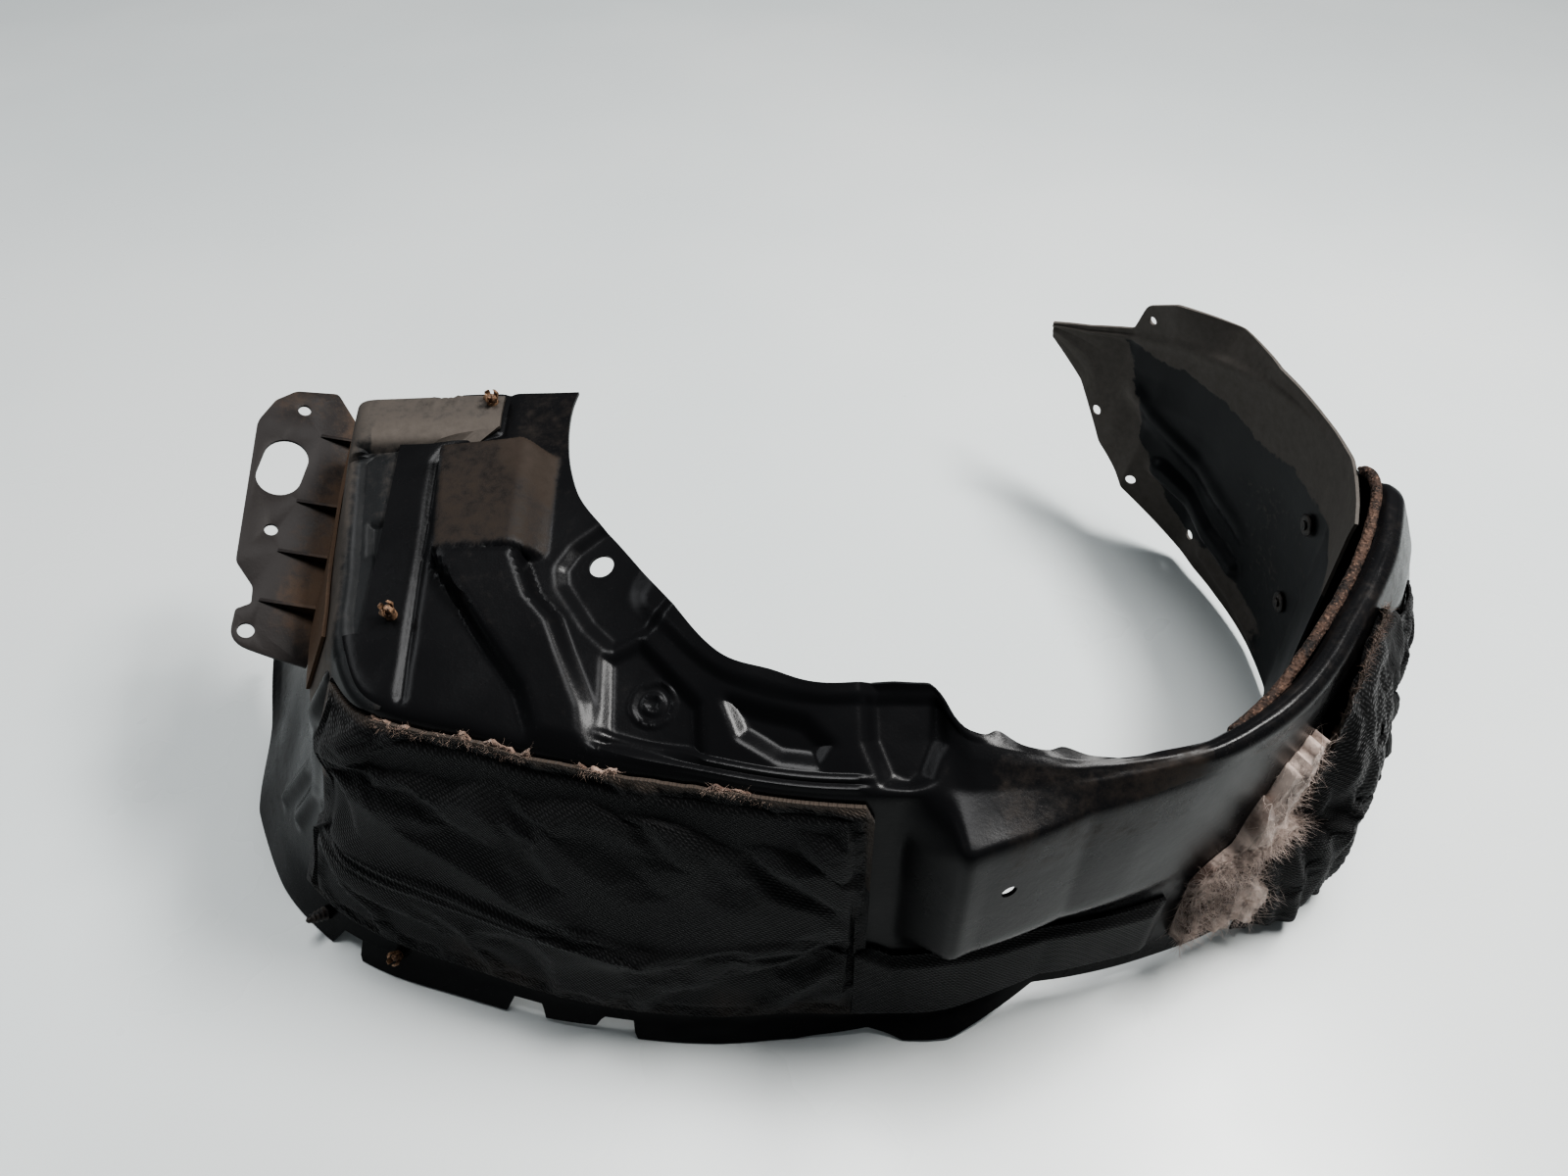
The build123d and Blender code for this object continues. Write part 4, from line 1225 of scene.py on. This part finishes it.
def build_rear_cloth():
    """Peeled cover: its torn edge curls away from the batting in long pleats."""
    angles = np.arange(311.6, 338.5, 0.22)
    t = np.linspace(0, 1, 120)
    ragged = 0.05 * mottle(angles, 0 * angles, 8, 44, 4)
    first = np.interp(angles, *zip(*TORN)) + ragged
    angle = np.repeat(angles[:, None], len(t), 1)
    place = between(first, np.full(len(angles), 6.0), t)
    edge = scaled_distance(angle, place, (7.2, 43), TORN[:7])
    stand = np.interp(place, *zip(*STAND)) * np.interp(angle, *zip(*STAND_FADE))
    swell = ease(edge / 26)
    lift = 9 + (stand - 9) * swell
    across = (angle - 311) * 0.21
    pleats = 3.4 * np.sin(TAU * (across + 0.5 * place))
    pleats = pleats + 1.8 * np.sin(TAU * (across * 2.3 - 0.8 * place + 0.3))
    lift = lift + pleats * ease(edge / 14) * np.interp(place, [2.6, 3.6], [0.1, 1])
    lift = lift + 2.2 * mottle(angle, place, 34, 101, 4)
    lift = lift + 3.0 * bell(edge, 5)
    lift = 3 + (np.maximum(lift, 6.5) - 3) * ease((338.6 - angle) / 3)
    rest = base.layer(angle, place, np.maximum(lift, 3.0))
    droop = 17 * ease((t[None, :] - 0.78) / 0.22) * ease((336 - angle) / 8)
    rest[..., 2] = np.maximum(rest[..., 2] - droop, 2.5)
    cloth = settle_cloth(rest, 3.0, 3.0, 0.04, 20, 17)
    verts, faces = closed_sheet(cloth, cloth - normals_of(cloth) * 1.5)
    verts[:, 2] = np.maximum(verts[:, 2], 1.0)
    piece = make("rear_pad_cloth", verts, faces, "woven_cover", stands_for=["rear_pad_cover"], sharp=60)
    measured_uv(piece, *arc_lengths(rest))
    piece.data.materials.append(CLOTH)
    paint(piece, dust=both_sides(0.7 * bell(edge, 5) + 0.08))
    # brown fibres along the torn edge
    random = np.random.RandomState(33)
    torn_columns = int(np.searchsorted(angles, 325.5))
    starts = []
    for _ in range(620):
        i = random.randint(0, torn_columns)
        j = random.randint(0, 4)
        out = cloth[i, j] - cloth[i, j + 6] + random.normal(0, 1.5, 3)
        starts.append((cloth[i, j], out / np.linalg.norm(out)))
    make_hairs("rear_cloth_fringe", starts, 35, 8, 0.2, 0.45, 1.2, BATTING, 0.7, floor=0.5)


build_rear_pad()
build_rear_cloth()


# ---- the foam bead ----
# angle, radius and height of the bead's middle
SEAL = [(304.0, 399.0, 246.0), (310, 397.5, 249.0), (316, 393.8, 253.5), (323, 392.4, 257.0),
        (333, 394.2, 262.5), (339, 395.0, 266.5), (341.6, 392.5, 266.8), (343.2, 384.5, 264.0)]


def build_seal():
    table = np.array(SEAL, float)
    parts = np.hypot(np.diff(table[:, 0]) * 6.9, np.diff(table[:, 1]))
    lengths = np.concatenate([[0], np.cumsum(parts)])
    s = np.linspace(0, lengths[-1], 330)
    line = monotone(lengths, table, s)
    turn = np.radians(line[:, 0])
    centre = np.stack([AXIS[0] + line[:, 1] * np.cos(turn), AXIS[1] + line[:, 1] * np.sin(turn),
                       line[:, 2]], -1)
    ahead = np.gradient(centre, axis=0)
    ahead /= np.linalg.norm(ahead, axis=1)[:, None]
    side = np.cross(ahead, [0, 0, 1])
    side /= np.linalg.norm(side, axis=1)[:, None]
    up = np.cross(side, ahead)
    count = 22
    k = np.arange(count) / count * TAU
    radius = 3.7 + 0.5 * rough_noise(s[:, None] + 0 * k, k[None, :] * 4 + 0 * s[:, None], 7, 12, 4)
    radius = radius * (0.35 + 0.65 * ease(np.minimum(s, lengths[-1] - s) / 5))[:, None]
    spoke = np.cos(k)[None, :, None] * side[:, None] + np.sin(k)[None, :, None] * up[:, None]
    verts = (centre[:, None] + radius[..., None] * spoke).reshape(-1, 3)
    piece = make("foam_bead", verts, ring_faces(len(s), count), "seal_foam",
                 stands_for=["inboard_seal"], sharp=80)
    piece.data.materials.append(FOAM)


build_seal()


# ---- fasteners ----
# lower and upper face of the sheets that each rivet holds
FRONT_GRIP, LIP_GRIP, REAR_GRIP = (-HALF, HALF + GAP + SHEET), (-HALF, HALF), (-HALF - 5.0, HALF)
GRIPS = [FRONT_GRIP, FRONT_GRIP, LIP_GRIP, REAR_GRIP, REAR_GRIP]


# height along a rivet's leg, radius, and half its depth and width
LEG_LEVELS = [(0.0, 3.05, 0.85, 1.6), (2.2, 3.7, 0.95, 1.8), (4.6, 4.7, 1.05, 2.0), (6.6, 4.3, 0.85, 1.7),
              (8.2, 3.0, 0.4, 1.0)]


def turned(profile, centre, axis, side, count=28):
    """Vertices and faces of a lathed solid: profile is (radius, height) from end to end."""
    across = axis.cross(side).normalized()
    verts = []
    for radius, height in profile:
        for q in range(count):
            a = TAU * q / count
            spoke = side * (radius * math.cos(a)) + across * (radius * math.sin(a))
            verts.append(tuple(centre + axis * height + spoke))
    return verts, ring_faces(len(profile), count)


def rivet(number, angle, place, low, high):
    point, normal, around = frame_on(base, angle, place)
    z, x = Vector(normal), Vector(around)
    y = z.cross(x).normalized()
    origin = Vector(point)
    seat = low - GAP
    head = seat - 1.8
    ring = [(2.25, head + 0.95), (3.9, head + 0.95), (3.9, head + 0.1), (4.4, head), (7.6, head + 0.1),
            (8.7, head + 0.7), (9.0, head + 1.3), (8.8, seat), (3.9, seat), (3.9, high + 0.7),
            (3.9, high + 2.2), (2.25, high + 2.2)]
    count = 32
    verts, faces = turned(ring, origin, z, x, count)
    # the profile closes on itself, so the two end faces give way to a last band
    last = (len(ring) - 1) * count
    faces = faces[:-2] + [(last + q, last + (q + 1) % count, (q + 1) % count, q) for q in range(count)]
    # four legs that the pin spreads
    for leg in range(4):
        turn = TAU * (leg + 0.5) / 4
        radial = x * math.cos(turn) + y * math.sin(turn)
        tangent = y * math.cos(turn) - x * math.sin(turn)
        start = len(verts)
        for up, r, depth, width in LEG_LEVELS:
            for dr, dw in ((-depth, -width), (depth, -width * 0.8), (depth, width * 0.8), (-depth, width)):
                p = origin + z * (high + 1.4 + up) + radial * (r + dr * 0.75) + tangent * dw
                verts.append(tuple(p))
        faces += ring_faces(len(LEG_LEVELS), 4, start)
    slot, material = ("fastener_black", BLACK) if number > 3 else ("fastener_beige", BEIGE)
    piece = make(f"rivet_look_{number}", verts, faces, slot, stands_for=[f"rivet_body_{number}"], sharp=40)
    piece.data.materials.append(material)
    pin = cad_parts[f"rivet_pin_{number}"]
    pin.data.materials.clear()
    pin.data.materials.append(material)


for number, (at, grip) in enumerate(zip(RIVET_AT, GRIPS), start=1):
    rivet(number, *at, *grip)


def finned_clip():
    point, normal, around = frame_on(base, *CLIP_AT)
    z, x, origin = Vector(normal), Vector(around), Vector(point)
    seat = -HALF - 2 * GAP
    profile = [(0.2, seat - 1.8), (7.6, seat - 1.7), (8.8, seat - 1.0), (9.0, seat - 0.4), (8.7, seat),
               (2.6, seat)]
    for step in range(4):
        level = HALF + 2.0 + 3.4 * step
        fin = 5.4 - 0.5 * step
        profile += [(2.5, level - 0.5), (fin - 0.3, level - 0.7), (fin, level - 0.2),
                    (fin - 0.6, level + 0.3), (2.9, level + 1.2), (2.4, level + 1.5)]
    profile += [(2.3, HALF + 15.2), (1.2, HALF + 16.6), (0.2, HALF + 16.8)]
    verts, faces = turned(profile, origin, z, x, 30)
    piece = make("finned_clip_look", verts, faces, "fastener_black", stands_for=["finned_clip"], sharp=40)
    piece.data.materials.append(BLACK)


finned_clip()


# ---- stage, light and camera ----
def build_stage():
    b = bmesh.new()
    bmesh.ops.create_grid(b, x_segments=8, y_segments=8, size=9)
    mesh = bpy.data.meshes.new("floor")
    b.to_mesh(mesh)
    b.free()
    floor = bpy.data.objects.new("floor", mesh)
    floor.location = (0, 0, -FLOOR_DROP)
    bpy.context.scene.collection.objects.link(floor)
    g = Graph("floor_pale")
    soft = g.noise(1.3, 3, 0.5)
    g.set(Base_Color=g.mix(g.span(soft, 0.35, 0.65), rgb(0.62, 0.65, 0.65), rgb(0.67, 0.69, 0.685)),
          Roughness=g.span(g.noise(3.5, 4, 0.6), 0.3, 0.7, 0.24, 0.34, False), Specular_IOR_Level=0.35)
    mesh.materials.append(g.material)


def add_light(name, kind, power, aim):
    data = bpy.data.lights.new(name, kind)
    data.energy = power
    lamp = bpy.data.objects.new(name, data)
    bpy.context.scene.collection.objects.link(lamp)
    lamp.rotation_euler = Vector(aim).to_track_quat("-Z", "Y").to_euler()
    return lamp


def area_light(name, at, towards, size, power, tint):
    lamp = add_light(name, "AREA", power, Vector(towards) - Vector(at))
    lamp.location = at
    lamp.data.color = tint
    lamp.data.shape = "RECTANGLE"
    lamp.data.size, lamp.data.size_y = size


def build_light():
    bpy.context.scene.view_settings.look = "AgX - High Contrast"
    world = bpy.data.worlds.new("studio")
    bpy.context.scene.world = world
    world.use_nodes = True
    back = world.node_tree.nodes["Background"]
    back.inputs[0].default_value = (0.78, 0.83, 0.86, 1)
    back.inputs[1].default_value = 0.21
    area_light("key", (1.0, 0.1, 1.9), (0.0, 0.0, 0.15), (0.8, 0.4), 40, (1.0, 0.99, 0.97))
    area_light("left_soft", (-1.7, 0.4, 1.6), (-0.1, 0, 0.1), (1.0, 0.5), 6, (0.96, 0.98, 1.0))
    sun = add_light("overhead", "SUN", 1.55, (-0.03, -0.20, -1.0))
    sun.data.angle = math.radians(24)


def build_camera():
    """The photo's camera: its place over the floor in millimetres and its tilt."""
    data = bpy.data.cameras.new("camera")
    data.lens = 27
    data.sensor_width = 36
    camera = bpy.data.objects.new("camera", data)
    camera.location = Vector((AXIS[0] - 36, AXIS[1] - 746, 800)) * MM
    camera.rotation_euler = (math.radians(90 - CAMERA_TILT), 0, 0)
    bpy.context.scene.collection.objects.link(camera)
    bpy.context.scene.camera = camera


build_stage()
build_light()
build_camera()
